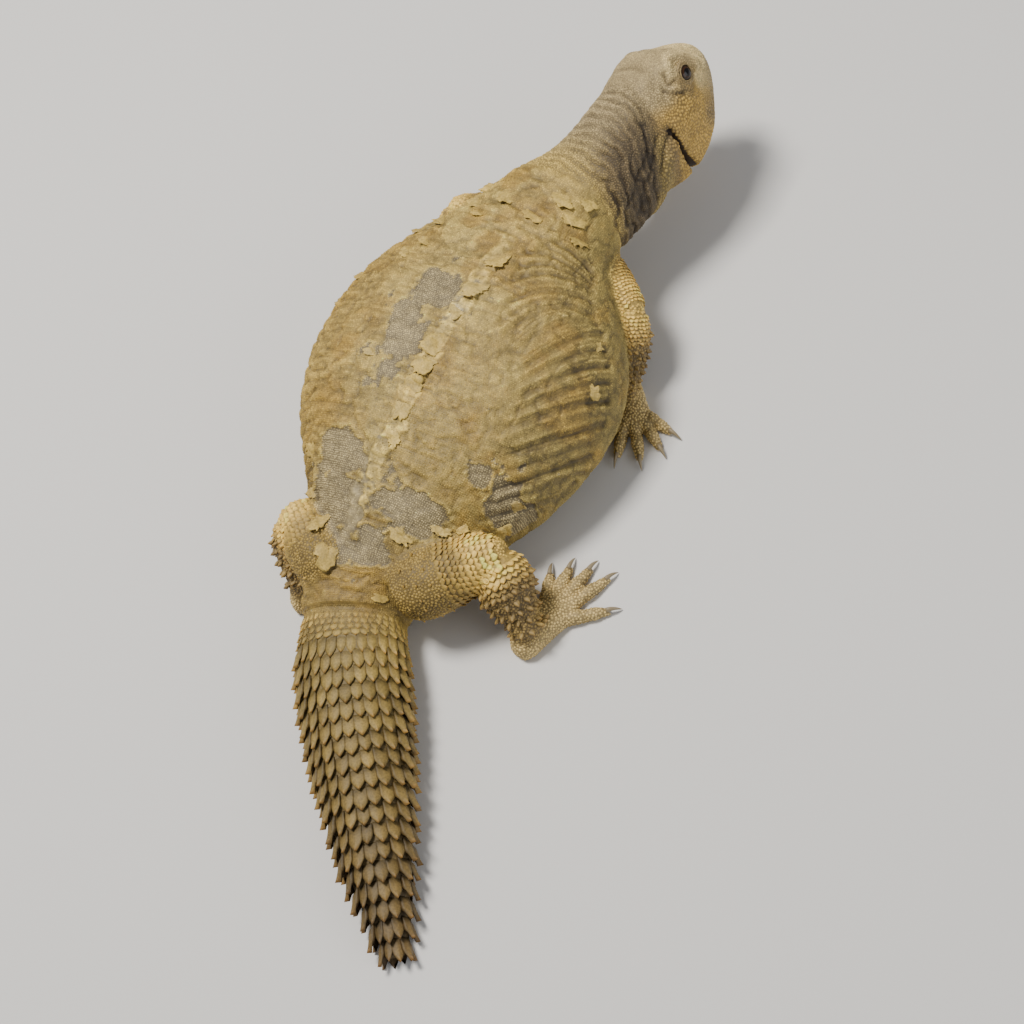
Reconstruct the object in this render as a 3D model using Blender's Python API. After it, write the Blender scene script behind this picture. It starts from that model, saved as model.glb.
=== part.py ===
"""A life-size spiny-tailed lizard resting on its belly: a closed solid for each part of the body.

Metres, +Z up, +Y towards the head, the floor at Z = 0. The animal's right side is at +X.
"""

import math
import random

import bmesh
import bpy
import numpy as np
from mathutils import Matrix, Vector

# Driving sizes
TRUNK_LENGTH = 0.262  # vent to the front of the shoulders
TAIL_LENGTH = 0.182
HEAD_LENGTH = 0.0640
GAP = 0.0003  # left between parts that meet
CLEAR = 0.0004  # how far a cutter is grown, so that the gap is kept on the slant too
TRUNK_STEPS = 24
TRUNK_SEGMENTS = 28
TAIL_SEGMENTS = 18
WHORLS = 20
TAIL_PARTS = (0, 5, 10, 15, WHORLS)  # the whorls where the tail's parts begin and end
SHARP_ANGLE = 50  # degrees between faces above which an edge shows
SKIN_COLOUR = (0.42, 0.33, 0.14)
EYE_COLOUR = (0.02, 0.016, 0.012)
SKIN_ROUGHNESS, EYE_ROUGHNESS = 0.75, 0.15
SEED = 7

# The spine lies on a plan curve. S runs along it from the vent, forwards positive.
PLAN_START = (-0.0167, 0.0213)  # where the curve is at S = START_S
START_S = 0.13
PLAN_STEP = 0.001
HEADING = [  # (S, degrees clockwise from +Y)
    (-0.260, -40),
    (-0.120, -37),
    (-0.030, -32),
    (0.000, -19),
    (0.030, 0),
    (0.060, 1),
    (0.130, 0),
    (0.200, 6),
    (0.275, 18),
]

# Trunk sections: (S, axis height, half width, rise above the axis, depth below it)
TRUNK = [
    (0.000, 0.0180, 0.0300, 0.0210, 0.0190),
    (0.030, 0.0210, 0.0390, 0.0290, 0.0220),
    (0.060, 0.0250, 0.0590, 0.0370, 0.0260),
    (0.090, 0.0290, 0.0790, 0.0440, 0.0300),
    (0.120, 0.0315, 0.0900, 0.0490, 0.0325),
    (0.150, 0.0335, 0.0930, 0.0500, 0.0345),
    (0.180, 0.0365, 0.0870, 0.0480, 0.0375),
    (0.208, 0.0405, 0.0710, 0.0430, 0.0400),
    (0.235, 0.0465, 0.0510, 0.0360, 0.0390),
    (0.262, 0.0550, 0.0375, 0.0285, 0.0330),
]
# Tail sections: (share of the tail's length from the vent, half width)
TAIL = [
    (0.00, 0.0285),
    (0.13, 0.0295),
    (0.29, 0.0280),
    (0.45, 0.0250),
    (0.61, 0.0208),
    (0.77, 0.0158),
    (0.88, 0.0110),
    (0.95, 0.0076),
    (1.00, 0.0046),
]
TAIL_HEIGHT = 0.66  # of the half width, above and below the axis
BELLY_SINK = 0.0010  # how far a round underside would pass the floor, and so how wide its flat is
WHORL_SHRINK = 0.06  # how much longer the first whorls are, and the last ones shorter
WHORL_REACH = 0.985  # share of the tail's length that the whorls take
WHORL_SWELL = (0.95, 1.03, 0.96)  # of a whorl's half width: front edge, widest place, rear edge
WHORL_WIDEST = 0.82  # share of the way along a whorl to its widest place
TAIL_TIP = (0.0030, 0.0022, 0.0018, 0.0022)  # height, half width, rise and depth of its end

# Spines of a whorl, in shares of the whorl's length unless they are metres
SPINES_BASE, SPINES_WIDEST = 3, 6  # spines on a whorl of no width, and more on the widest one
SPINE_FAN = 88  # degrees from the middle of the back to the outermost spine
SPINE_ROOT = 0.58
SPINE_LENGTH = 0.95
SPINE_VARY = (0.95, 1.08)
SPINE_COVER = 0.26  # half width of a spine, in shares of the whorl's outline between two spines
SPINE_LIFT, SPINE_SPREAD = 0.35, 0.14  # slope of the spines, and what the outermost have more
SPINE_SUNK = 0.0016
SPINE_THICK = 0.0019

# The head's own frame: origin at the nape, +Y to the snout, +Z up, +X to the animal's right
HEAD_AT = (0.0246, 0.1905, 0.0907)  # from the plan curve's start
HEAD_TURN, HEAD_DIP, HEAD_ROLL = 44.0, 44.0, 43.0  # degrees: to the right, nose down, right side up
# Head sections from the nape to the snout, in its frame: (distance forwards and height of the
# axis, degrees that the section leans back at its top, half width, rise and depth from the axis,
# share of the width that is lost towards the crown and towards the throat)
HEAD = [
    (0.0110, -0.0300, 24, 0.0255, 0.0325, 0.0430, 0.00, 0.10),
    (0.0160, -0.0245, 19, 0.0285, 0.0378, 0.0450, 0.00, 0.15),
    (0.0220, -0.0180, 12, 0.0300, 0.0402, 0.0455, 0.02, 0.22),
    (0.0290, -0.0135, 6, 0.0288, 0.0405, 0.0450, 0.10, 0.30),
    (0.0370, -0.0105, 2, 0.0262, 0.0416, 0.0435, 0.20, 0.34),
    (0.0440, -0.0095, 0, 0.0235, 0.0414, 0.0405, 0.30, 0.34),
    (0.0510, -0.0095, 0, 0.0205, 0.0393, 0.0355, 0.36, 0.32),
    (0.0580, -0.0105, 0, 0.0165, 0.0330, 0.0265, 0.36, 0.30),
    (0.0640, -0.0120, 0, 0.0100, 0.0205, 0.0170, 0.34, 0.30),
]
BODY_POWER = 2.25  # of the superellipses across trunk and tail, where 2 is an ellipse
HEAD_POWER = 2.7
HEAD_STEPS = 15
FLAT_SHARE = 0.97  # share of a head section's height above which it counts as its top
NECK_STEPS = 14
NECK_PULL = (0.30, 0.36)  # how far the neck keeps the way of each end, in shares of its reach
NECK_SHIFT = Vector((0.0060, -0.0020, -0.0010))  # of its middle, to the right
NECK_FOLD = 0.0009  # depth of the folds across the neck
NECK_WAIST = (-0.0020, -0.0020, 0.0010)
EYE_AT = (0.0205, 0.0258, 0.0108)
EYE_RADIUS = 0.0060
MOUTH_CORNER = (0.0160, -0.0210)  # distance forwards and height
LIP_DROP = 0.0180  # from the corner of the mouth to the front of the lips
GAPE = 0.0045
MOUTH_DEPTH = 0.0060
MOUTH_STEPS = 12  # from the front of the lips to each corner
MOUTH_OUT = 0.0060  # how far its cutter stands out of the lips
MOUTH_EDGE = 0.0004  # half its height at the corners
LID_THICK = 0.0015
LID_STRETCH = (1.0, 1.12, 1.04)
LID_OPENING = (0.0052, 0.0036, 0.0043)
LID_LEAN = -16.0  # degrees that the opening between the lids leans
BROW_YAW, BROW_ROLL = -14.0, 28.0  # degrees inwards at the front, and down at the outer side
BROW_AT, BROW_RADII = (0.0172, 0.0285, 0.0192), (0.0074, 0.0140, 0.0046)
NOSTRIL_AT, NOSTRIL_RADII = (0.0138, 0.0560, 0.0035), (0.0018, 0.0020, 0.0013)
EAR_AT, EAR_RADII, EAR_LEAN = (0.0290, 0.0110, 0.0), (0.0042, 0.0016, 0.0066), 12.0

# Leg sections: (share of the way to the next joint, half width, half height)
UPPER_LEG = [
    (0.00, 0.0130, 0.0150),
    (0.20, 0.0185, 0.0175),
    (0.45, 0.0190, 0.0175),
    (0.70, 0.0165, 0.0155),
    (0.90, 0.0140, 0.0135),
    (1.05, 0.0110, 0.0110),
    (1.15, 0.0065, 0.0065),
]
LOWER_LEG = [
    (0.00, 0.0080, 0.0080),
    (0.08, 0.0125, 0.0120),
    (0.22, 0.0150, 0.0140),
    (0.40, 0.0155, 0.0140),
    (0.65, 0.0125, 0.0115),
    (0.85, 0.0095, 0.0090),
    (1.00, 0.0085, 0.0080),
    (1.10, 0.0055, 0.0050),
]
ARM_SHARE = 0.80  # of the leg's thickness

# Limb joints from the plan curve's start: hip or shoulder, knee or elbow, ankle or wrist,
# then the way the foot points in degrees clockwise from +Y.
LIMBS = {
    "hind_right": ((0.026, -0.113, 0.030), (0.067, -0.078, 0.040), (0.093, -0.101, 0.0125), 15),
    "hind_left": ((-0.012, -0.114, 0.032), (-0.049, -0.092, 0.034), (-0.038, -0.122, 0.0115), -18),
    "fore_right": ((0.026, 0.112, 0.046), (0.070, 0.086, 0.041), (0.080, 0.052, 0.0105), 148),
    "fore_left": ((-0.016, 0.113, 0.048), (-0.052, 0.114, 0.046), (-0.060, 0.100, 0.0105), -25),
}
LIMB_NAMES = {"hind": ("thigh", "shin", "foot"), "fore": ("upper_arm", "forearm", "hand")}
HIND_TOES = [  # (degrees outwards from the foot's way, length of the toe, half width)
    (-34, 0.019, 0.0038),
    (-17, 0.026, 0.0040),
    (-2, 0.031, 0.0040),
    (13, 0.033, 0.0040),
    (40, 0.023, 0.0038),
]
FORE_TOES = [
    (-42, 0.017, 0.0036),
    (-20, 0.023, 0.0037),
    (0, 0.026, 0.0038),
    (21, 0.023, 0.0037),
    (44, 0.018, 0.0035),
]
HIND_PALM, FORE_PALM = (0.027, 0.0105), (0.020, 0.0098)  # length and half width
PALM = [  # (share of the palm's length, share of its half width, height)
    (-0.42, 0.42, 0.0052),
    (-0.30, 0.70, 0.0095),
    (0.00, 0.84, 0.0115),
    (0.35, 0.92, 0.0090),
    (0.70, 1.05, 0.0066),
    (1.00, 1.00, 0.0054),
    (1.10, 0.70, 0.0040),
]
PALM_LIFT, TOE_LIFT = 0.55, 0.72  # height of their axes, in shares of their height
TOE = [  # (share of the toe's length, share of its half width, half height)
    (0.00, 1.00, 0.0046),
    (0.30, 1.00, 0.0048),
    (0.45, 0.90, 0.0040),
    (0.62, 0.98, 0.0043),
    (0.80, 0.80, 0.0034),
    (0.97, 0.62, 0.0027),
]
TOE_ROOT = (1.2, 0.72)  # sideways in half widths of the palm, and forwards in its lengths
CLAW = 0.0085
CLAW_ROOT = 0.95  # share of the toe's length
CLAW_ROWS = [(-0.25, 0.0016), (0.45, 0.0015), (1.00, 0.0003)]  # (share of its length, half width)
CLAW_HEIGHT, CLAW_DROP = 0.0036, 0.0030
LIMB_SEGMENTS, PALM_SEGMENTS, TOE_SEGMENTS, CLAW_SEGMENTS = 14, 12, 6, 5
SHIN_SPINES = (0.22, 0.42, 0.62, 0.80)  # rows of pointed scales, in shares of the lower leg
SHIN_SPINES_ACROSS = 4
SHIN_SPINE_SIZE = {"hind": 0.0052, "fore": 0.0040}
SHIN_SPINE_FAN = (20, 140)  # degrees where a row begins, and how far it goes round
SHIN_SPINE_LEAN = 0.75  # how far they point down the leg


def smooth(table, x, column):
    """The value at x of one column of a table of rows, by cubic pieces through the rows."""
    xs = [row[0] for row in table]
    ys = [row[column] for row in table]
    x = min(max(x, xs[0]), xs[-1])
    i = min(max(int(np.searchsorted(xs, x)) - 1, 0), len(xs) - 2)

    def slope(k):
        a, b = max(k - 1, 0), min(k + 1, len(xs) - 1)
        return (ys[b] - ys[a]) / (xs[b] - xs[a])

    width = xs[i + 1] - xs[i]
    t = (x - xs[i]) / width
    return (
        ys[i] * (1 + 2 * t) * (1 - t) ** 2
        + slope(i) * width * t * (1 - t) ** 2
        + ys[i + 1] * t * t * (3 - 2 * t)
        + slope(i + 1) * width * t * t * (t - 1)
    )


def plan_curve():
    """Arc lengths and plan points of the spine, walked both ways from its start."""
    points = {0: Vector(PLAN_START)}
    for way in (1, -1):
        here = Vector(PLAN_START)
        for k in range(1, 420):
            s = START_S + way * (k - 0.5) * PLAN_STEP
            turn = math.radians(smooth(HEADING, s, 1))
            here = here + way * PLAN_STEP * Vector((math.sin(turn), math.cos(turn)))
            points[way * k] = here
    keys = sorted(points)
    return [START_S + k * PLAN_STEP for k in keys], [points[k] for k in keys]


ARC, PLAN = plan_curve()


def spine(s):
    """Plan point of the spine at arc length s."""
    x = np.interp(s, ARC, [p.x for p in PLAN])
    y = np.interp(s, ARC, [p.y for p in PLAN])
    return float(x), float(y)


def upright_frame(s, z):
    """A section's frame across the spine: columns are right, forwards and up."""
    turn = math.radians(smooth(HEADING, s, 1))
    x, y = spine(s)
    frame = Matrix.Rotation(-turn, 4, "Z")
    frame.translation = (x, y, z)
    return frame


def head_frame():
    """Where the head's own frame stands."""
    turn = Matrix.Rotation(-math.radians(HEAD_TURN), 4, "Z")
    dip = Matrix.Rotation(-math.radians(HEAD_DIP), 4, "X")
    roll = Matrix.Rotation(-math.radians(HEAD_ROLL), 4, "Y")
    frame = turn @ dip @ roll
    frame.translation = Vector(PLAN_START).to_3d() + Vector(HEAD_AT)
    return frame


def head_section(y):
    """A section of the head in its own frame: the section's frame and its five sizes."""
    lean = math.radians(smooth(HEAD, y, 2))
    frame = Matrix.Translation((0, y, smooth(HEAD, y, 1))) @ Matrix.Rotation(lean, 4, "X")
    return frame, [smooth(HEAD, y, c) for c in (3, 4, 5, 6, 7)]


def head_half_width(y, z):
    """How far the head's side is from its middle at a point y forwards and z up."""
    half, rise, depth, top_loss, low_loss = head_section(y)[1]
    up = z - smooth(HEAD, y, 1)
    share = min(abs(up) / (rise if up > 0 else depth), FLAT_SHARE)
    loss = (top_loss if up > 0 else low_loss) * share
    return half * (1 - share**HEAD_POWER) ** (1 / HEAD_POWER) * (1 - loss)


def oval(frame, half_width, rise, depth, segments, power=BODY_POWER, floor=None):
    """A ring of points round a frame: a superellipse with its own rise and depth, cut off at the floor."""
    ring = []
    for k in range(segments):
        a = 2 * math.pi * (k + 0.5) / segments
        c, s = math.cos(a), math.sin(a)
        x = half_width * math.copysign(abs(c) ** (2 / power), c)
        z = (rise if s > 0 else depth) * math.copysign(abs(s) ** (2 / power), s)
        p = frame @ Vector((x, 0, z))
        if floor is not None:
            p.z = max(p.z, floor)
        ring.append(p)
    return ring


def mesh_object(name, points, faces):
    mesh = bpy.data.meshes.new(name)
    mesh.from_pydata([tuple(p) for p in points], [], faces)
    mesh.validate()
    obj = bpy.data.objects.new(name, mesh)
    bpy.context.scene.collection.objects.link(obj)
    return obj


def loft(name, rings):
    """A closed skin through rings of equal count, flat at both ends, with its faces pointing out."""
    n = len(rings[0])
    points = [p for ring in rings for p in ring]
    faces = [tuple(range(n))]
    for r in range(len(rings) - 1):
        for k in range(n):
            a, b = r * n + k, r * n + (k + 1) % n
            faces.append((a, a + n, b + n, b))
    last = (len(rings) - 1) * n
    faces.append(tuple(last + k for k in reversed(range(n))))
    obj = mesh_object(name, points, faces)
    face_out(obj)
    return obj


def face_out(obj):
    made = bmesh.new()
    made.from_mesh(obj.data)
    bmesh.ops.recalc_face_normals(made, faces=made.faces)
    if made.calc_volume(signed=True) < 0:
        bmesh.ops.reverse_faces(made, faces=made.faces)
    made.to_mesh(obj.data)
    made.free()


def apply_modifiers(obj):
    bpy.context.view_layer.update()
    graph = bpy.context.evaluated_depsgraph_get()
    made = bpy.data.meshes.new_from_object(obj.evaluated_get(graph))
    obj.modifiers.clear()
    obj.data = made


def boolean(obj, others, operation, solver="EXACT"):
    """Joins or cuts obj with other closed objects, which are used up."""
    tools = bpy.data.collections.new("tools")
    for other in others:
        for home in list(other.users_collection):
            home.objects.unlink(other)
        tools.objects.link(other)
    bpy.context.scene.collection.children.link(tools)
    modifier = obj.modifiers.new("cut", "BOOLEAN")
    modifier.operation = operation
    modifier.solver = solver
    modifier.operand_type = "COLLECTION"
    modifier.collection = tools
    if solver == "EXACT":
        modifier.use_self = operation == "UNION"
    apply_modifiers(obj)
    for other in others:
        bpy.data.objects.remove(other)
    bpy.data.collections.remove(tools)
    keep_largest(obj)


def keep_largest(obj):
    """Leaves only the largest closed surface of an object's mesh."""
    made = bmesh.new()
    made.from_mesh(obj.data)
    bmesh.ops.triangulate(made, faces=made.faces)
    bmesh.ops.remove_doubles(made, verts=made.verts, dist=1e-6)
    unseen = set(made.faces)
    shells = []
    while unseen:
        stack = [unseen.pop()]
        shell = list(stack)
        while stack:
            for edge in stack.pop().edges:
                for face in edge.link_faces:
                    if face in unseen:
                        unseen.remove(face)
                        shell.append(face)
                        stack.append(face)
        shells.append(shell)

    def volume(shell):
        return sum(
            f.verts[0].co.dot(f.verts[1].co.cross(f.verts[2].co)) / 6 for f in shell
        )

    largest = max(shells, key=volume)
    dropped = [f for shell in shells if shell is not largest for f in shell]
    bmesh.ops.delete(made, geom=dropped, context="FACES")
    loose = [v for v in made.verts if not v.link_faces]
    bmesh.ops.delete(made, geom=loose, context="VERTS")
    made.to_mesh(obj.data)
    made.free()


def ball(name, centre, radii, turn=None, segments=20, rings=12):
    """An ellipsoid from a sphere primitive."""
    mesh = bpy.data.meshes.new(name)
    made = bmesh.new()
    bmesh.ops.create_uvsphere(made, u_segments=segments, v_segments=rings, radius=1)
    made.transform(Matrix.Diagonal((*radii, 1)))
    if turn is not None:
        made.transform(turn.to_4x4())
    made.transform(Matrix.Translation(centre))
    made.to_mesh(mesh)
    made.free()
    obj = bpy.data.objects.new(name, mesh)
    bpy.context.scene.collection.objects.link(obj)
    return obj


def spine_cone(root, way, side, length, half_width, thick, sides=5):
    """A flattened cone from its root along way, wide across side."""
    mesh = bpy.data.meshes.new("spine")
    made = bmesh.new()
    bmesh.ops.create_cone(made, cap_ends=True, segments=sides, radius1=1, radius2=0, depth=1)
    up = way.cross(side).normalized()
    across = up.cross(way).normalized()
    turn = Matrix((across, up, way.normalized())).transposed()
    made.transform(Matrix.Translation((0, 0, 0.5)))
    made.transform(Matrix.Diagonal((half_width, thick, length, 1)))
    made.transform(turn.to_4x4())
    made.transform(Matrix.Translation(root))
    made.to_mesh(mesh)
    made.free()
    obj = bpy.data.objects.new("spine", mesh)
    bpy.context.scene.collection.objects.link(obj)
    return obj


def trunk_ring(s, segments, grow=0.0):
    z = smooth(TRUNK, s, 1)
    sizes = [smooth(TRUNK, s, c) + grow for c in (2, 3, 4)]
    return oval(upright_frame(s, z), *sizes, segments, floor=-grow)


def trunk(name, grow=0.0):
    """The trunk from the vent to the shoulders, or a cutter grown round it."""
    steps = np.linspace(GAP / 2, TRUNK_LENGTH, TRUNK_STEPS)
    return loft(name, [trunk_ring(s, TRUNK_SEGMENTS, grow) for s in steps])


def tail_sizes(s):
    """Half width and half height of the tail at arc length s."""
    half = smooth(TAIL, -s / TAIL_LENGTH, 1)
    return half, half * TAIL_HEIGHT


def tail_ring(s, segments, swell):
    half, high = tail_sizes(s)
    frame = upright_frame(s, high - BELLY_SINK)
    return oval(frame, half * swell, high * swell, high, segments, floor=0.0)


def whorl_at(k):
    """Arc length where whorl k begins."""
    share = k / WHORLS
    return -TAIL_LENGTH * WHORL_REACH * (share + WHORL_SHRINK * share * (1 - share))


def tail_piece(name, first, last, segments, dice):
    """Whorls first to last of the tail, each flared at its rear edge and set with spines."""
    front, widest, rear = WHORL_SWELL
    start = -GAP if first == 0 else whorl_at(first) - GAP / 2
    stop = whorl_at(last) + GAP / 2
    rings = []
    for k in range(first, last):
        a = start if k == first else whorl_at(k)
        b = stop if k == last - 1 else whorl_at(k + 1)
        rings.append(tail_ring(a, segments, front))
        rings.append(tail_ring(a + WHORL_WIDEST * (b - a), segments, widest))
    rings.append(tail_ring(stop, segments, rear))
    if last == WHORLS:
        height, half, rise, depth = TAIL_TIP
        tip = upright_frame(-TAIL_LENGTH, height)
        rings.append(oval(tip, half, rise, depth, segments, floor=0.0))
    body = loft(name, rings)
    spines = []
    for k in range(first, last):
        spines += whorl_spines(k, dice)
    boolean(body, spines, "UNION")
    return body


def whorl_spines(k, dice):
    """The spines of one whorl, from flank to flank over the back."""
    a, b = whorl_at(k), whorl_at(k + 1)
    root_s = a + SPINE_ROOT * (b - a)
    half, high = tail_sizes(root_s)
    widest = max(row[1] for row in TAIL)
    count = max(4, round(SPINES_BASE + SPINES_WIDEST * half / widest))
    wide = SPINE_COVER * 2 * math.pi * half / count
    frame = upright_frame(root_s, high - BELLY_SINK)
    back = -frame.col[1].to_3d()
    made = []
    for j in range(count):
        spread = -1 + 2 * j / (count - 1)
        angle = math.radians(90 - SPINE_FAN * spread)
        out_x, out_z = math.cos(angle), math.sin(angle)
        out = (frame.col[0] * out_x + frame.col[2] * out_z).to_3d().normalized()
        x = half * math.copysign(abs(out_x) ** (2 / BODY_POWER), out_x)
        z = high * abs(out_z) ** (2 / BODY_POWER)
        root = frame @ Vector((x, 0, z)) - out * SPINE_SUNK
        way = (back + out * (SPINE_LIFT + SPINE_SPREAD * abs(spread))).normalized()
        side = back.cross(out).normalized()
        length = SPINE_LENGTH * (a - b) * dice.uniform(*SPINE_VARY)
        made.append(spine_cone(root, way, side, length, wide, SPINE_THICK))
    return made


def neck(name, segments):
    """From the shoulders to the nape, turning and rolling from the trunk's frame to the head's."""
    start = upright_frame(TRUNK_LENGTH + GAP, smooth(TRUNK, TRUNK_LENGTH, 1))
    section, head_sizes = head_section(HEAD[0][0])
    stop = head_frame() @ section
    p0 = start.translation
    p3 = stop @ Vector((0, -GAP, 0))
    reach = (p3 - p0).length
    p1 = p0 + start.col[1].to_3d() * reach * NECK_PULL[0] + NECK_SHIFT
    p2 = p3 - stop.col[1].to_3d() * reach * NECK_PULL[1] + NECK_SHIFT
    turn0, turn3 = start.to_quaternion(), stop.to_quaternion()
    rings = []
    for k in range(NECK_STEPS + 1):
        t = k / NECK_STEPS
        frame = turn0.slerp(turn3, t).to_matrix().to_4x4()
        frame.translation = (
            p0 * (1 - t) ** 3
            + p1 * 3 * t * (1 - t) ** 2
            + p2 * 3 * t * t * (1 - t)
            + p3 * t**3
        )
        fold = NECK_FOLD * (-1) ** k if 0 < k < NECK_STEPS else 0.0
        sizes = [
            a + (b - a) * t + w * math.sin(math.pi * t) + fold
            for a, b, w in zip(TRUNK[-1][2:], head_sizes[:3], NECK_WAIST)
        ]
        power = BODY_POWER + (HEAD_POWER - BODY_POWER) * t
        ring = oval(frame, *sizes, segments, power)
        if k > NECK_STEPS // 2:
            ring = [before_plane(p, stop) for p in ring]
        rings.append(ring)
    return loft(name, rings)


def before_plane(point, frame):
    """The point, or where it would pass the frame's own plane, the point moved back to the gap."""
    local = frame.inverted() @ point
    local.y = min(local.y, -GAP)
    return frame @ local


def head_ring(y, segments):
    frame, (half, rise, depth, top_loss, low_loss) = head_section(y)
    ring = oval(Matrix.Identity(4), half, rise, depth, segments, power=HEAD_POWER)
    for p in ring:
        p.x *= 1 - (top_loss * p.z / rise if p.z > 0 else low_loss * -p.z / depth)
    return [frame @ p for p in ring]


def mouth_path():
    """Points along the lips from the left corner of the mouth round the snout to the right."""
    front_y, corner_y = HEAD_LENGTH - MOUTH_EDGE, MOUTH_CORNER[0]
    path = []
    for k in range(-MOUTH_STEPS, MOUTH_STEPS + 1):
        t = k / MOUTH_STEPS
        share = min(1.0, (1 - abs(t)) / 0.8)
        y = corner_y + (front_y - corner_y) * share**0.85
        z = MOUTH_CORNER[1] - LIP_DROP * (1 - math.exp(-2.2 * share))
        x = head_half_width(y, z) * min(1.0, abs(t) / 0.2) * math.copysign(1, t)
        path.append((Vector((x, y, z)), share))
    return path


def mouth_cutter():
    """The gap between the lips: a blade round the snout, thin at the corners and open in front."""
    path = mouth_path()
    sections = []
    for k, (centre, share) in enumerate(path):
        before = path[max(k - 1, 0)][0]
        after = path[min(k + 1, len(path) - 1)][0]
        along = (after - before).normalized()
        outward = Vector((-along.y, along.x, 0)).normalized()
        if outward.dot(Vector((centre.x, centre.y - HEAD_LENGTH / 2, 0))) < 0:
            outward.negate()
        up = Vector((0, 0, MOUTH_EDGE + GAPE / 2 * share))
        inner = centre - outward * MOUTH_DEPTH
        outer = centre + outward * MOUTH_OUT
        sections.append([inner - up * 0.5, outer - up * 1.3, outer + up * 1.3, inner + up * 0.5])
    return loft("mouth", sections)


def on_side(place, side):
    """A place on the animal's right, or the same one on its left where side is -1."""
    return Vector((side * place[0], place[1], place[2]))


def raised_parts(side):
    """Lid and brow of one side."""
    lid = [(EYE_RADIUS + LID_THICK) * stretch for stretch in LID_STRETCH]
    turn = Matrix.Rotation(side * math.radians(BROW_YAW), 3, "Z")
    turn = turn @ Matrix.Rotation(side * math.radians(BROW_ROLL), 3, "Y")
    return [
        ball("lid", on_side(EYE_AT, side), lid, None, 14, 8),
        ball("brow", on_side(BROW_AT, side), BROW_RADII, turn, 12, 8),
    ]


def openings(side):
    """What is cut out of one side: eye socket, opening between the lids, nostril and ear."""
    centre = on_side(EYE_AT, side)
    between = centre + on_side((LID_OPENING[0], 0, 0), side)
    slit = Matrix.Rotation(math.radians(LID_LEAN), 3, "X")
    ear = Matrix.Rotation(math.radians(EAR_LEAN), 3, "X")
    return [
        ball("socket", centre, (EYE_RADIUS + GAP,) * 3, None, 12, 8),
        ball("opening", between, LID_OPENING, slit, 12, 8),
        ball("nostril", on_side(NOSTRIL_AT, side), NOSTRIL_RADII, None, 8, 6),
        ball("ear", on_side(EAR_AT, side), EAR_RADII, ear, 10, 6),
    ]


def head(name, segments):
    """The head with its brows, lids, mouth, nostrils and ears."""
    steps = np.linspace(HEAD[0][0], HEAD_LENGTH, HEAD_STEPS)
    body = loft(name, [head_ring(float(y), segments) for y in steps])
    boolean(body, raised_parts(1) + raised_parts(-1), "UNION")
    boolean(body, [mouth_cutter()] + openings(1) + openings(-1), "DIFFERENCE")
    body.matrix_world = head_frame()
    return body


def eye(name, side):
    obj = ball(name, on_side(EYE_AT, side), (EYE_RADIUS,) * 3, None, 14, 8)
    obj.matrix_world = head_frame()
    return obj


def limb_axes(start, stop):
    """Ways across, along and up a limb between two points."""
    along = (stop - start).normalized()
    across = along.cross(Vector((0, 0, 1))).normalized()
    return across, along, across.cross(along)


def limb(name, start, stop, profile, grow=0.0):
    """A straight limb between two points: profile rows are (share, half width, half height)."""
    across, along, up = limb_axes(start, stop)
    reach = (stop - start).length
    rings = []
    for share, wide, high in profile:
        frame = Matrix((across, along, up)).transposed().to_4x4()
        frame.translation = start + along * (reach * share + grow * (2 * share - 1))
        rings.append(oval(frame, wide + grow, high + grow, high + grow, LIMB_SEGMENTS, 2.0))
    return loft(name, rings)


def joint_points(key):
    base = Vector(PLAN_START).to_3d()
    return [base + Vector(p) for p in LIMBS[key][:3]]


def toe_pieces(side, palm, degrees, length, half):
    """A toe and its claw, in the foot's own frame."""
    palm_length, palm_half = palm
    turn = math.radians(degrees)
    root = (side * math.sin(turn) * palm_half * TOE_ROOT[0], palm_length * TOE_ROOT[1], 0)
    frame = Matrix.Translation(root) @ Matrix.Rotation(-side * turn, 4, "Z")
    rows = []
    for t, wide, high in TOE:
        place = frame @ Matrix.Translation((0, length * t, high * TOE_LIFT))
        rows.append(oval(place, half * wide, high, high, TOE_SEGMENTS, floor=0.0))
    claw_rows = []
    for t, wide in CLAW_ROWS:
        height = CLAW_HEIGHT - CLAW_DROP * max(t, 0) ** 2
        place = frame @ Matrix.Translation((0, length * CLAW_ROOT + CLAW * t, height))
        claw_rows.append(oval(place, wide, wide * 1.2, wide * 1.2, CLAW_SEGMENTS, 2.0, floor=0.0))
    return [loft("toe", rows), loft("claw", claw_rows)]


def foot(name, key):
    """A flat-soled foot: a palm, five toes and their claws."""
    hind = key.startswith("hind")
    side = 1 if key.endswith("right") else -1
    size = HIND_PALM if hind else FORE_PALM
    rows = []
    for t, wide, high in PALM:
        place = Matrix.Translation((0, size[0] * t, high * PALM_LIFT))
        rows.append(oval(place, size[1] * wide, high, high, PALM_SEGMENTS, floor=0.0))
    palm = loft(name, rows)
    pieces = []
    for toe in HIND_TOES if hind else FORE_TOES:
        pieces += toe_pieces(side, size, *toe)
    boolean(palm, pieces, "UNION")
    ankle = joint_points(key)[2]
    place = Matrix.Rotation(-math.radians(LIMBS[key][3]), 4, "Z")
    place.translation = (ankle.x, ankle.y, 0)
    palm.data.transform(place)
    return palm


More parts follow.
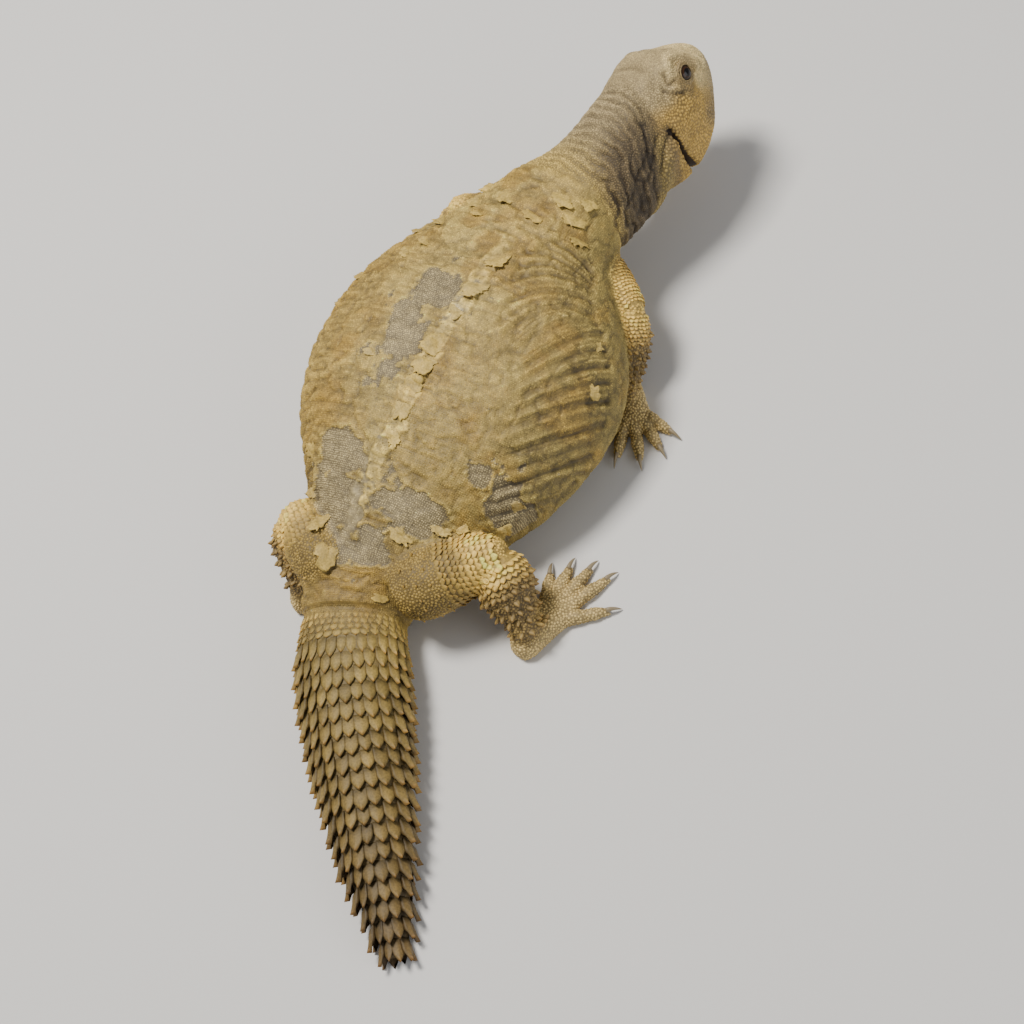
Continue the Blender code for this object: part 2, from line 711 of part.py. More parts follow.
def limb_spines(start, stop, profile, size, dice):
    """Conical scales in rows over the outside of a lower leg, pointing down it."""
    across, along, up = limb_axes(start, stop)
    first, spread = SHIN_SPINE_FAN
    made = []
    for r, share in enumerate(SHIN_SPINES):
        wide = smooth(profile, share, 1)
        high = smooth(profile, share, 2)
        for j in range(SHIN_SPINES_ACROSS):
            a = math.radians(first + spread * (j + 0.5 * (r % 2)) / SHIN_SPINES_ACROSS)
            out = (across * math.cos(a) * high + up * math.sin(a) * wide).normalized()
            surface = start.lerp(stop, share)
            surface = surface + across * wide * math.cos(a) + up * high * math.sin(a)
            way = (out + along * SHIN_SPINE_LEAN).normalized()
            half = size / 2 * dice.uniform(0.85, 1.15)
            root = surface - way * SPINE_SUNK
            made.append(spine_cone(root, way, along.cross(out), half * 2.7, half, half))
    return made


def limb_cutter(start, stop, profile):
    return limb("cutter", start, stop, profile, CLEAR)


def build_limb(key, dice):
    """Upper limb, lower limb and foot, each cut clear of what it grows from."""
    pair, side = key.split("_")
    start, middle, end = joint_points(key)
    names = LIMB_NAMES[pair]
    share = 1.0 if pair == "hind" else ARM_SHARE
    upper_profile = [(t, w * share, h * share) for t, w, h in UPPER_LEG]
    lower_profile = [(t, w * share, h * share) for t, w, h in LOWER_LEG]
    upper = limb(f"{names[0]}_{side}", start, middle, upper_profile)
    boolean(upper, [trunk("cutter", CLEAR)], "DIFFERENCE")
    lower = limb(f"{names[1]}_{side}", middle, end, lower_profile)
    spines = limb_spines(middle, end, lower_profile, SHIN_SPINE_SIZE[pair], dice)
    boolean(lower, spines, "UNION")
    cutters = [limb_cutter(start, middle, upper_profile), trunk("cutter", CLEAR)]
    boolean(lower, cutters, "DIFFERENCE")
    sole = foot(f"{names[2]}_{side}", key)
    cutters = [limb_cutter(middle, end, lower_profile)]
    cutters += [limb_cutter(start, middle, upper_profile), trunk("cutter", CLEAR)]
    boolean(sole, cutters, "DIFFERENCE")
    return [upper, lower, sole]


def material(name, colour, roughness):
    made = bpy.data.materials.new(name)
    made.use_nodes = True
    shader = made.node_tree.nodes["Principled BSDF"]
    shader.inputs["Base Color"].default_value = (*colour, 1)
    shader.inputs["Roughness"].default_value = roughness
    return made


def dress(obj, colour, roughness):
    """Gives an object its own material and smooth shading up to sharp edges."""
    obj.data.materials.clear()
    obj.data.materials.append(material(obj.name, colour, roughness))
    obj.data.shade_smooth()
    obj.data.set_sharp_from_angle(angle=math.radians(SHARP_ANGLE))


def build():
    for obj in list(bpy.data.objects):
        bpy.data.objects.remove(obj)
    dice = random.Random(SEED)
    body = [trunk("torso"), neck("neck", TRUNK_SEGMENTS), head("head", TRUNK_SEGMENTS)]
    for key in LIMBS:
        body += build_limb(key, dice)
    for k, (first, last) in enumerate(zip(TAIL_PARTS, TAIL_PARTS[1:])):
        body.append(tail_piece(f"tail_{k + 1}", first, last, TAIL_SEGMENTS, dice))
    eyes = [eye("eye_right", 1), eye("eye_left", -1)]
    for obj in body:
        dress(obj, SKIN_COLOUR, SKIN_ROUGHNESS)
    for obj in eyes:
        dress(obj, EYE_COLOUR, EYE_ROUGHNESS)
    home = bpy.data.collections.new("uromastyx")
    bpy.context.scene.collection.children.link(home)
    for obj in body + eyes:
        for old in list(obj.users_collection):
            old.objects.unlink(obj)
        home.objects.link(obj)


build()
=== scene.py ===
"""The looks of a life-size spiny-tailed lizard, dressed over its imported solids.

Metres, +Z up, +Y towards the head, the floor at Z = 0. The animal's right side is at +X.
"""

import math
import random

import bmesh
import bpy
import numpy as np
from mathutils import Matrix, Vector
from mathutils.bvhtree import BVHTree


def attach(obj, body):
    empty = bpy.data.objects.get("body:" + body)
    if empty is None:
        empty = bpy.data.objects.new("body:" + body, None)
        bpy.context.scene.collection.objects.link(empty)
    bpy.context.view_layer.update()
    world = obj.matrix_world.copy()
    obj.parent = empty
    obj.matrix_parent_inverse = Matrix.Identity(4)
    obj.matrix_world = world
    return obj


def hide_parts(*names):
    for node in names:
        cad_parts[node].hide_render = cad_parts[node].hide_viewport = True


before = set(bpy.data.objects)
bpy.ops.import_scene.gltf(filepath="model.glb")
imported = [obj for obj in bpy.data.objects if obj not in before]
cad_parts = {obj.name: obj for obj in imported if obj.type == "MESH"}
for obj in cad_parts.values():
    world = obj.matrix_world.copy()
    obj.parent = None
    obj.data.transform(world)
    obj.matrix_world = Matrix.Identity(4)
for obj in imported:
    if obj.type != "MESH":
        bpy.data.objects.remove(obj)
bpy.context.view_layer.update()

# ---- Sizes shared with the solids
TRUNK_LENGTH = 0.262  # vent to the front of the shoulders
TAIL_LENGTH = 0.182
HEAD_LENGTH = 0.0640
WHORLS = 20
PLAN_START = (-0.0167, 0.0213)  # where the spine's plan curve is at START_S
START_S = 0.13
PLAN_STEP = 0.001
HEADING = [  # (arc length from the vent, degrees clockwise from +Y)
    (-0.260, -40),
    (-0.120, -37),
    (-0.030, -32),
    (0.000, -19),
    (0.030, 0),
    (0.060, 1),
    (0.130, 0),
    (0.200, 6),
    (0.275, 18),
]
# Trunk sections: (arc length, axis height, half width, rise above the axis, depth below it)
TRUNK = [
    (0.000, 0.0180, 0.0300, 0.0210, 0.0190),
    (0.030, 0.0210, 0.0390, 0.0290, 0.0220),
    (0.060, 0.0250, 0.0590, 0.0370, 0.0260),
    (0.090, 0.0290, 0.0790, 0.0440, 0.0300),
    (0.120, 0.0315, 0.0900, 0.0490, 0.0325),
    (0.150, 0.0335, 0.0930, 0.0500, 0.0345),
    (0.180, 0.0365, 0.0870, 0.0480, 0.0375),
    (0.208, 0.0405, 0.0710, 0.0430, 0.0400),
    (0.235, 0.0465, 0.0510, 0.0360, 0.0390),
    (0.262, 0.0550, 0.0375, 0.0285, 0.0330),
]
BODY_POWER = 2.25  # of the superellipses across the trunk, tail and neck
# Tail sections: (share of the tail's length from the vent, half width)
TAIL = [
    (0.00, 0.0285),
    (0.13, 0.0295),
    (0.29, 0.0280),
    (0.45, 0.0250),
    (0.61, 0.0208),
    (0.77, 0.0158),
    (0.88, 0.0110),
    (0.95, 0.0076),
    (1.00, 0.0046),
]
TAIL_HEIGHT = 0.66  # of the half width, above and below the axis
BELLY_SINK = 0.0010

# The head's own frame: origin at the nape, +Y to the snout, +Z up, +X to the animal's right
HEAD_AT = (0.0246, 0.1905, 0.0907)
HEAD_TURN, HEAD_DIP, HEAD_ROLL = 44.0, 44.0, 43.0
# (distance forwards and height of the axis, degrees the section leans back, half width, rise,
# depth, share of the width lost towards the crown and towards the throat)
HEAD = [
    (0.0110, -0.0300, 24, 0.0255, 0.0325, 0.0430, 0.00, 0.10),
    (0.0160, -0.0245, 19, 0.0285, 0.0378, 0.0450, 0.00, 0.15),
    (0.0220, -0.0180, 12, 0.0300, 0.0402, 0.0455, 0.02, 0.22),
    (0.0290, -0.0135, 6, 0.0288, 0.0405, 0.0450, 0.10, 0.30),
    (0.0370, -0.0105, 2, 0.0262, 0.0416, 0.0435, 0.20, 0.34),
    (0.0440, -0.0095, 0, 0.0235, 0.0414, 0.0405, 0.30, 0.34),
    (0.0510, -0.0095, 0, 0.0205, 0.0393, 0.0355, 0.36, 0.32),
    (0.0580, -0.0105, 0, 0.0165, 0.0330, 0.0265, 0.36, 0.30),
    (0.0640, -0.0120, 0, 0.0100, 0.0205, 0.0170, 0.34, 0.30),
]
HEAD_POWER = 2.7
NECK_WAIST = (-0.0020, -0.0020, 0.0010)
NECK_SHIFT = Vector((0.0060, -0.0020, -0.0010))
NECK_RINGS = 40
EYE_AT = (0.0205, 0.0258, 0.0108)
EYE_RADIUS = 0.0060
MOUTH_CORNER = (0.0160, -0.0210)
LIP_DROP = 0.0180
GAPE = 0.0045
MOUTH_DEPTH = 0.0060
MOUTH_EDGE = 0.0014  # half the height of its cutter at the corners
BROW_YAW, BROW_ROLL = -14.0, 28.0
BROW_AT, BROW_RADII = (0.0172, 0.0285, 0.0192), (0.0074, 0.0140, 0.0046)
NOSTRIL_AT = (0.0138, 0.0560, 0.0035)
EAR_AT = (0.0290, 0.0110, 0.0000)

UPPER_LEG = [  # (share of the way to the knee, half width, half height)
    (0.00, 0.0130, 0.0150),
    (0.20, 0.0185, 0.0175),
    (0.45, 0.0190, 0.0175),
    (0.70, 0.0165, 0.0155),
    (0.90, 0.0140, 0.0135),
    (1.05, 0.0110, 0.0110),
    (1.15, 0.0065, 0.0065),
]
LOWER_LEG = [
    (0.00, 0.0080, 0.0080),
    (0.08, 0.0125, 0.0120),
    (0.22, 0.0150, 0.0140),
    (0.40, 0.0155, 0.0140),
    (0.65, 0.0125, 0.0115),
    (0.85, 0.0095, 0.0090),
    (1.00, 0.0085, 0.0080),
    (1.10, 0.0055, 0.0050),
]
ARM_SHARE = 0.80  # of the leg's thickness
# Limb joints from PLAN_START: hip or shoulder, knee or elbow, ankle or wrist, and the foot's way
LIMBS = {
    "hind_right": ((0.026, -0.113, 0.030), (0.067, -0.078, 0.040), (0.093, -0.101, 0.0125), 15),
    "hind_left": ((-0.012, -0.114, 0.032), (-0.049, -0.092, 0.034), (-0.038, -0.122, 0.0115), -18),
    "fore_right": ((0.026, 0.112, 0.046), (0.070, 0.086, 0.041), (0.080, 0.052, 0.0105), 148),
    "fore_left": ((-0.016, 0.113, 0.048), (-0.052, 0.114, 0.046), (-0.060, 0.100, 0.0105), -25),
}
HIND_TOES = [  # (degrees outwards from the foot's way, length of the toe, half width)
    (-34, 0.019, 0.0038),
    (-17, 0.026, 0.0040),
    (-2, 0.031, 0.0040),
    (13, 0.033, 0.0040),
    (40, 0.023, 0.0038),
]
FORE_TOES = [
    (-42, 0.017, 0.0036),
    (-20, 0.023, 0.0037),
    (0, 0.026, 0.0038),
    (21, 0.023, 0.0037),
    (44, 0.018, 0.0035),
]
PALM = [  # (share of the palm's length, share of its half width, height)
    (-0.42, 0.42, 0.0052),
    (-0.30, 0.70, 0.0095),
    (0.00, 0.84, 0.0115),
    (0.35, 0.92, 0.0090),
    (0.70, 1.05, 0.0066),
    (1.00, 1.00, 0.0054),
    (1.10, 0.70, 0.0040),
]
TOE = [  # (share of the toe's length, share of its half width, half height)
    (0.00, 1.00, 0.0046),
    (0.30, 1.00, 0.0048),
    (0.45, 0.90, 0.0040),
    (0.62, 0.98, 0.0043),
    (0.80, 0.80, 0.0034),
    (0.97, 0.62, 0.0027),
]
CLAW = 0.0085

# ---- Sizes of the coat
SEED = 11
COAT = 0.0004  # how far the skin lies inside the solids
VOXEL = 0.0009
FLESH = [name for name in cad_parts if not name.startswith("eye")]


def smooth(table, x, column):
    """The value at x, a number or an array, of one column of a table, by cubic pieces."""
    xs = np.array([row[0] for row in table], float)
    ys = np.array([row[column] for row in table], float)
    x = np.clip(np.asarray(x, float), xs[0], xs[-1])
    i = np.clip(np.searchsorted(xs, x) - 1, 0, len(xs) - 2)
    before = np.maximum(np.arange(len(xs)) - 1, 0)
    after = np.minimum(np.arange(len(xs)) + 1, len(xs) - 1)
    slopes = (ys[after] - ys[before]) / (xs[after] - xs[before])
    width = xs[i + 1] - xs[i]
    t = (x - xs[i]) / width
    return (
        ys[i] * (1 + 2 * t) * (1 - t) ** 2
        + slopes[i] * width * t * (1 - t) ** 2
        + ys[i + 1] * t * t * (3 - 2 * t)
        + slopes[i + 1] * width * t * t * (t - 1)
    )


def step(low, high, x):
    """A smooth step from 0 at low to 1 at high."""
    t = np.clip((x - low) / (high - low), 0, 1)
    return t * t * (3 - 2 * t)


def bell(x, width):
    return np.exp(-((x / width) ** 2))


def noise(points, size, seed):
    """Smooth random values from -1 to 1 in space, with features about size across."""
    p = points / size
    base = np.floor(p).astype(np.int64)
    t = p - base
    t = t * t * (3 - 2 * t)
    total = np.zeros(len(points))
    for corner in range(8):
        bits = np.array([corner & 1, corner >> 1 & 1, corner >> 2 & 1])
        cell = base + bits
        mixed = cell[:, 0] * 73856093 ^ cell[:, 1] * 19349663 ^ cell[:, 2] * 83492791 ^ seed * 97531
        mixed = (mixed & 0xFFFFFFF) * 1274126177 & 0xFFFFFFFFFFF
        value = (mixed >> 15 & 0xFFFF) / 32767.5 - 1
        total += value * np.prod(np.where(bits, t, 1 - t), axis=1)
    return total


def rough(points, size, seed, octaves=3):
    """Noise with finer and finer features added, each half as strong."""
    total = np.zeros(len(points))
    for k in range(octaves):
        total += noise(points, size / 2**k, seed + 17 * k) / 2**k
    return total


# ---- The spine, the head and the limbs as curves and frames
def plan_curve():
    reach = 420
    middles = START_S + (np.arange(-reach, reach) + 0.5) * PLAN_STEP
    turn = np.radians(smooth(HEADING, middles, 1))
    moves = np.stack([np.sin(turn), np.cos(turn)], 1) * PLAN_STEP
    path = np.vstack([[0, 0], np.cumsum(moves, 0)])
    path += np.array(PLAN_START) - path[reach]
    return START_S + np.arange(-reach, reach + 1) * PLAN_STEP, path


ARC, PLAN = plan_curve()


def spine(s):
    """Plan points of the spine at arc lengths s, with the ways to the right and forwards."""
    turn = np.radians(smooth(HEADING, s, 1))
    x = np.interp(s, ARC, PLAN[:, 0])
    y = np.interp(s, ARC, PLAN[:, 1])
    right = np.stack([np.cos(turn), -np.sin(turn), np.zeros_like(turn)], -1)
    ahead = np.stack([np.sin(turn), np.cos(turn), np.zeros_like(turn)], -1)
    return np.stack([x, y, np.zeros_like(x)], -1), right, ahead


def body_sizes(s):
    """Axis height, half width, rise and depth of the trunk or the tail at arc lengths s."""
    tail = smooth(TAIL, -s / TAIL_LENGTH, 1)
    high = tail * TAIL_HEIGHT
    behind = s < 0
    return (
        np.where(behind, high - BELLY_SINK, smooth(TRUNK, s, 1)),
        np.where(behind, tail, smooth(TRUNK, s, 2)),
        np.where(behind, high, smooth(TRUNK, s, 3)),
        np.where(behind, high, smooth(TRUNK, s, 4)),
    )


def oval(angles, half, rise, depth, power):
    """Sideways and upwards coordinates round a superellipse with its own rise and depth."""
    c, s = np.cos(angles), np.sin(angles)
    x = half * np.sign(c) * np.abs(c) ** (2 / power)
    z = np.where(s > 0, rise, depth) * np.sign(s) * np.abs(s) ** (2 / power)
    return x, z


def body_points(s, angles, inset=0.0):
    """Points on the trunk or tail at arc lengths s and angles round it."""
    axis, half, rise, depth = body_sizes(s)
    x, z = oval(angles, half - inset, rise - inset, depth - inset, BODY_POWER)
    place, right, ahead = spine(s)
    points = place + right * x[..., None]
    points[..., 2] = np.maximum(axis + z, inset)
    return points


def head_frame():
    turn = Matrix.Rotation(-math.radians(HEAD_TURN), 4, "Z")
    dip = Matrix.Rotation(-math.radians(HEAD_DIP), 4, "X")
    roll = Matrix.Rotation(-math.radians(HEAD_ROLL), 4, "Y")
    made = turn @ dip @ roll
    made.translation = Vector(PLAN_START).to_3d() + Vector(HEAD_AT)
    return made


HEAD_FRAME = head_frame()
HEAD_AXES = np.array(HEAD_FRAME.to_3x3())
HEAD_ORIGIN = np.array(HEAD_FRAME.translation)


def head_points(y, angles, inset=0.0):
    """Points on the head, in its own frame, at distances y forwards and angles round it."""
    axis, lean, half, rise, depth, top_loss, low_loss = [smooth(HEAD, y, c) for c in range(1, 8)]
    x, z = oval(angles, half - inset, rise - inset, depth - inset, HEAD_POWER)
    x = x * (1 - np.where(z > 0, top_loss * z / rise, -low_loss * z / depth))
    lean = np.radians(lean)
    return np.stack([x, y - z * np.sin(lean), axis + z * np.cos(lean)], -1)


def head_half_width(y, z):
    axis, lean, half, rise, depth, top_loss, low_loss = [smooth(HEAD, y, c) for c in range(1, 8)]
    up = z - axis
    share = np.minimum(np.abs(up) / np.where(up > 0, rise, depth), 0.97)
    loss = np.where(up > 0, top_loss, low_loss) * share
    return half * (1 - share**HEAD_POWER) ** (1 / HEAD_POWER) * (1 - loss)


def neck_rings():
    """Centre, axes (right, ahead, up), sizes and power of each ring of the neck."""
    axis, half, rise, depth = [float(v) for v in body_sizes(np.array(TRUNK_LENGTH))]
    place, right, ahead = spine(np.array(TRUNK_LENGTH))
    start = Matrix((right, ahead, (0, 0, 1))).transposed().to_4x4()
    start.translation = Vector((place[0], place[1], axis))
    first = HEAD[0]
    section = Matrix.Translation((0, first[0], first[1])) @ Matrix.Rotation(
        math.radians(first[2]), 4, "X"
    )
    stop = HEAD_FRAME @ section
    p0, p3 = start.translation, stop.translation
    reach = (p3 - p0).length
    p1 = p0 + start.col[1].to_3d() * reach * 0.30 + NECK_SHIFT
    p2 = p3 - stop.col[1].to_3d() * reach * 0.36 + NECK_SHIFT
    turn0, turn3 = start.to_quaternion(), stop.to_quaternion()
    rings = []
    for k in range(NECK_RINGS + 1):
        t = k / NECK_RINGS
        axes = np.array(turn0.slerp(turn3, t).to_matrix())
        centre = p0 * (1 - t) ** 3 + p1 * 3 * t * (1 - t) ** 2 + p2 * 3 * t * t * (1 - t) + p3 * t**3
        sizes = [
            a + (b - a) * t + w * math.sin(math.pi * t)
            for a, b, w in zip((half, rise, depth), first[3:6], NECK_WAIST)
        ]
        power = BODY_POWER + (HEAD_POWER - BODY_POWER) * t
        rings.append((np.array(centre), axes, sizes, power))
    return rings


NECK = neck_rings()
NECK_CENTRES = np.array([ring[0] for ring in NECK])
NECK_LENGTH = float(np.linalg.norm(np.diff(NECK_CENTRES, axis=0), axis=1).sum())


def limb_joints(key):
    return [np.array(PLAN_START + (0,)) + np.array(p) for p in LIMBS[key][:3]]


def limb_axes(start, stop):
    along = (stop - start) / np.linalg.norm(stop - start)
    across = np.cross(along, (0, 0, 1))
    across /= np.linalg.norm(across)
    return across, along, np.cross(across, along)


def limb_parts():
    """Each limb's straight parts: key, start, stop, profile and how much thinner than a leg."""
    parts = []
    for key in LIMBS:
        start, middle, end = limb_joints(key)
        share = 1.0 if key.startswith("hind") else ARM_SHARE
        parts.append((key, start, middle, UPPER_LEG, share))
        parts.append((key, middle, end, LOWER_LEG, share))
    return parts


LIMB_PARTS = limb_parts()


def foot_place(key):
    """The foot's origin on the floor and its axes: right, ahead and up."""
    ankle = limb_joints(key)[2]
    turn = math.radians(LIMBS[key][3])
    ahead = np.array((math.sin(turn), math.cos(turn), 0))
    right = np.array((math.cos(turn), -math.sin(turn), 0))
    return np.array((ankle[0], ankle[1], 0)), np.array((right, ahead, (0, 0, 1)))


def foot_toes(key):
    """Root, way forwards, way across, length and half width of each toe."""
    hind, side = key.startswith("hind"), 1 if key.endswith("right") else -1
    palm_length, palm_half = (0.027, 0.0105) if hind else (0.020, 0.0098)
    origin, axes = foot_place(key)
    toes = []
    for degrees, length, half in HIND_TOES if hind else FORE_TOES:
        a = side * math.radians(degrees)
        root = np.array((math.sin(a) * palm_half * 1.2, palm_length * 0.72, 0))
        way = np.array((math.sin(a), math.cos(a), 0))
        across = np.array((math.cos(a), -math.sin(a), 0))
        toes.append((origin + root @ axes, way @ axes, across @ axes, length, half))
    return toes, palm_length, palm_half


# ---- Meshes
def mesh_object(name, points, faces):
    mesh = bpy.data.meshes.new(name)
    mesh.from_pydata([tuple(p) for p in points], [], faces)
    mesh.validate()
    obj = bpy.data.objects.new(name, mesh)
    bpy.context.scene.collection.objects.link(obj)
    return obj


def tube_faces(rings, n, first=0):
    """Faces of a closed tube whose points come ring by ring, n to a ring."""
    faces = [tuple(first + k for k in range(n))]
    for r in range(rings - 1):
        for k in range(n):
            a, b = first + r * n + k, first + r * n + (k + 1) % n
            faces.append((a, a + n, b + n, b))
    last = first + (rings - 1) * n
    faces.append(tuple(last + k for k in reversed(range(n))))
    return faces


def tube(name, grid):
    """A closed object through a grid of points: rings by points round each ring."""
    rings, n = grid.shape[:2]
    obj = mesh_object(name, grid.reshape(-1, 3), tube_faces(rings, n))
    made = bmesh.new()
    made.from_mesh(obj.data)
    bmesh.ops.recalc_face_normals(made, faces=made.faces)
    made.to_mesh(obj.data)
    made.free()
    return obj


def ball(name, centre, radii, turn=None, segments=40, rings=24):
    mesh = bpy.data.meshes.new(name)
    made = bmesh.new()
    bmesh.ops.create_uvsphere(made, u_segments=segments, v_segments=rings, radius=1)
    made.transform(Matrix.Diagonal((*radii, 1)))
    if turn is not None:
        made.transform(turn.to_4x4())
    made.transform(Matrix.Translation(centre))
    made.to_mesh(mesh)
    made.free()
    obj = bpy.data.objects.new(name, mesh)
    bpy.context.scene.collection.objects.link(obj)
    return obj


def apply_modifiers(obj):
    bpy.context.view_layer.update()
    graph = bpy.context.evaluated_depsgraph_get()
    made = bpy.data.meshes.new_from_object(obj.evaluated_get(graph))
    obj.modifiers.clear()
    obj.data = made


def mesh_arrays(obj):
    """Vertex places, vertex normals and edges of an object's mesh."""
    mesh = obj.data
    count = len(mesh.vertices)
    places, normals = np.empty(count * 3), np.empty(count * 3)
    mesh.vertices.foreach_get("co", places)
    mesh.vertices.foreach_get("normal", normals)
    edges = np.empty(len(mesh.edges) * 2, np.int64)
    mesh.edges.foreach_get("vertices", edges)
    return places.reshape(-1, 3), normals.reshape(-1, 3), edges.reshape(-1, 2)


def blurred(values, edges, times):
    """Values on vertices, each time averaged with those of the neighbours."""
    n = len(values)
    a, b = edges[:, 0], edges[:, 1]
    count = np.bincount(a, minlength=n) + np.bincount(b, minlength=n) + 1
    columns = values.reshape(n, -1).T.copy()
    for i in range(len(columns)):
        column = columns[i]
        for _ in range(times):
            total = column + np.bincount(a, column[b], n) + np.bincount(b, column[a], n)
            column = total / count
        columns[i] = column
    return columns.T.reshape(values.shape)


# ---- The bare shape under the skin
def mouth_cutter():
    """The gap between the lips: a blade round the snout, thin at the corners and open in front."""
    path = []
    for k in range(-24, 25):
        t = k / 24
        share = min(1.0, (1 - abs(t)) / 0.8)
        y = MOUTH_CORNER[0] + (HEAD_LENGTH - 0.0004 - MOUTH_CORNER[0]) * share**0.85
        z = MOUTH_CORNER[1] - LIP_DROP * (1 - math.exp(-2.2 * share))
        x = float(head_half_width(y, z)) * min(1.0, abs(t) / 0.2) * math.copysign(1, t)
        path.append((Vector((x, y, z)), share))
    sections = []
    for k, (centre, share) in enumerate(path):
        before = path[max(k - 1, 0)][0]
        after = path[min(k + 1, len(path) - 1)][0]
        along = (after - before).normalized()
        outward = Vector((-along.y, along.x, 0)).normalized()
        if outward.dot(Vector((centre.x, centre.y - 0.03, 0))) < 0:
            outward.negate()
        up = Vector((0, 0, MOUTH_EDGE + (GAPE / 2 - MOUTH_EDGE / 2) * share))
        inner = centre - outward * MOUTH_DEPTH
        outer = centre + outward * 0.006
        sections.append([inner - up * 0.5, outer - up * 1.3, outer + up * 1.3, inner + up * 0.5])
    grid = np.array([[tuple(p) for p in section] for section in sections])
    return tube("mouth", grid)


def bare_head():
    y = np.linspace(HEAD[0][0], HEAD_LENGTH, 60)
    angles = 2 * np.pi * (np.arange(110) + 0.5) / 110
    grid = head_points(y[:, None], angles[None], COAT)
    centre = grid[0].mean(0)
    back = centre + (grid[:1] - centre) * 0.84 - np.array((0, 0.005, 0))
    head = tube("bare_head", np.concatenate([back, grid]))
    cutter = mouth_cutter()
    cut = head.modifiers.new("cut", "BOOLEAN")
    cut.operation, cut.solver, cut.object = "DIFFERENCE", "EXACT", cutter
    cut.use_self = True
    apply_modifiers(head)
    bpy.data.objects.remove(cutter)
    pieces = [head]
    for side in (1, -1):
        turn = Matrix.Rotation(side * math.radians(BROW_YAW), 3, "Z")
        turn = turn @ Matrix.Rotation(side * math.radians(BROW_ROLL), 3, "Y")
        x, y, z = BROW_AT
        pieces.append(ball("brow", Vector((side * x, y, z)), BROW_RADII, turn))
    for obj in pieces:
        obj.data.transform(HEAD_FRAME)
    return pieces


def bare_body():
    s = np.linspace(-TAIL_LENGTH * 0.992, TRUNK_LENGTH, 420)
    angles = 2 * np.pi * (np.arange(160) + 0.5) / 160
    return tube("bare_body", body_points(s[:, None] + 0 * angles, angles[None] + 0 * s[:, None], COAT))


def bare_neck():
    angles = 2 * np.pi * (np.arange(110) + 0.5) / 110
    rings = []
    for centre, axes, (half, rise, depth), power in NECK:
        x, z = oval(angles, half - COAT, rise - COAT, depth - COAT, power)
        rings.append(centre + x[:, None] * axes[:, 0] + z[:, None] * axes[:, 2])
    back, front = rings[0].mean(0), rings[-1].mean(0)
    rings.insert(0, back + (rings[0] - back) * 0.90 - NECK[0][1][:, 1] * 0.006)
    rings.append(front + (rings[-1] - front) * 0.88 + NECK[-1][1][:, 1] * 0.003)
    return tube("bare_neck", np.array(rings))


def bare_limb(start, stop, profile, share):
    across, along, up = limb_axes(start, stop)
    t = np.linspace(profile[0][0], profile[-1][0], 40)
    angles = 2 * np.pi * (np.arange(48) + 0.5) / 48
    wide = smooth(profile, t, 1) * share - COAT
    high = smooth(profile, t, 2) * share - COAT
    centres = start + np.outer(t, stop - start)
    x = wide[:, None] * np.cos(angles)
    z = high[:, None] * np.sin(angles)
    return tube("bare_limb", centres[:, None] + x[..., None] * across + z[..., None] * up)


def bare_foot(key):
    toes, palm_length, palm_half = foot_toes(key)
    origin, axes = foot_place(key)
    angles = 2 * np.pi * (np.arange(32) + 0.5) / 32
    rings = []
    for t in np.linspace(PALM[0][0], PALM[-1][0], 24):
        half, high = palm_half * smooth(PALM, t, 1) - COAT, smooth(PALM, t, 2) - COAT
        x, z = oval(angles, half, high, high, 2.3)
        local = np.stack([x, x * 0 + palm_length * t, np.maximum(high * 0.55 + z, COAT)], 1)
        rings.append(origin + local @ axes)
    pieces = [tube("bare_palm", np.array(rings))]
    for root, way, across, length, half in toes:
        rings = []
        for t in np.linspace(0, 1, 20):
            wide, high = half * smooth(TOE, t, 1) - COAT, smooth(TOE, t, 2) - COAT
            x, z = oval(angles, wide, high, high, 2.2)
            z = np.maximum(high * 0.72 + z, COAT)
            rings.append(root + way * length * t + x[:, None] * across + z[:, None] * (0, 0, 1))
        pieces.append(tube("bare_toe", np.array(rings)))
    return pieces


def bare_shape():
    """One closed mesh of even faces round trunk, tail, neck, head and limbs."""
    pieces = [bare_body(), bare_neck()] + bare_head()
    pieces += [bare_limb(*part[1:]) for part in LIMB_PARTS]
    for key in LIMBS:
        pieces += bare_foot(key)
    points, faces = [], []
    for obj in pieces:
        base = len(points)
        points += [tuple(v.co) for v in obj.data.vertices]
        faces += [tuple(base + i for i in p.vertices) for p in obj.data.polygons]
        bpy.data.objects.remove(obj)
    skin = mesh_object("skin", points, faces)
    even = skin.modifiers.new("even", "REMESH")
    even.mode, even.voxel_size, even.use_smooth_shade = "VOXEL", VOXEL, True
    soften = skin.modifiers.new("soften", "SMOOTH")
    soften.factor, soften.iterations = 0.5, 6
    apply_modifiers(skin)
    return skin


# ---- Where points are on the animal
def nearest_rows(points, rows, chunk=20000):
    found = np.empty(len(points), np.int64)
    for i in range(0, len(points), chunk):
        gap = points[i : i + chunk, None] - rows[None]
        found[i : i + chunk] = np.einsum("ijk,ijk->ij", gap, gap).argmin(1)
    return found


def on_body(points):
    """Arc length, sideways and upwards distance from the axis, and how far outside the body."""
    keep = (ARC > -TAIL_LENGTH - 0.004) & (ARC < TRUNK_LENGTH + 0.02)
    arcs, path = ARC[keep], PLAN[keep]
    s = arcs[nearest_rows(points[:, :2], path)]
    place, right, ahead = spine(s)
    gap = points - place
    s = s + (gap * ahead).sum(1)
    side = (gap * right).sum(1)
    axis, half, rise, depth = body_sizes(s)
    up = points[:, 2] - axis
    tall = np.where(up > 0, rise, depth)
    rho = ((np.abs(side) / half) ** BODY_POWER + (np.abs(up) / tall) ** BODY_POWER) ** (1 / BODY_POWER)
    outside = np.abs(rho - 1) * np.minimum(half, tall)
    outside += np.maximum(s - TRUNK_LENGTH, 0) * 2
    return s, side, up, outside


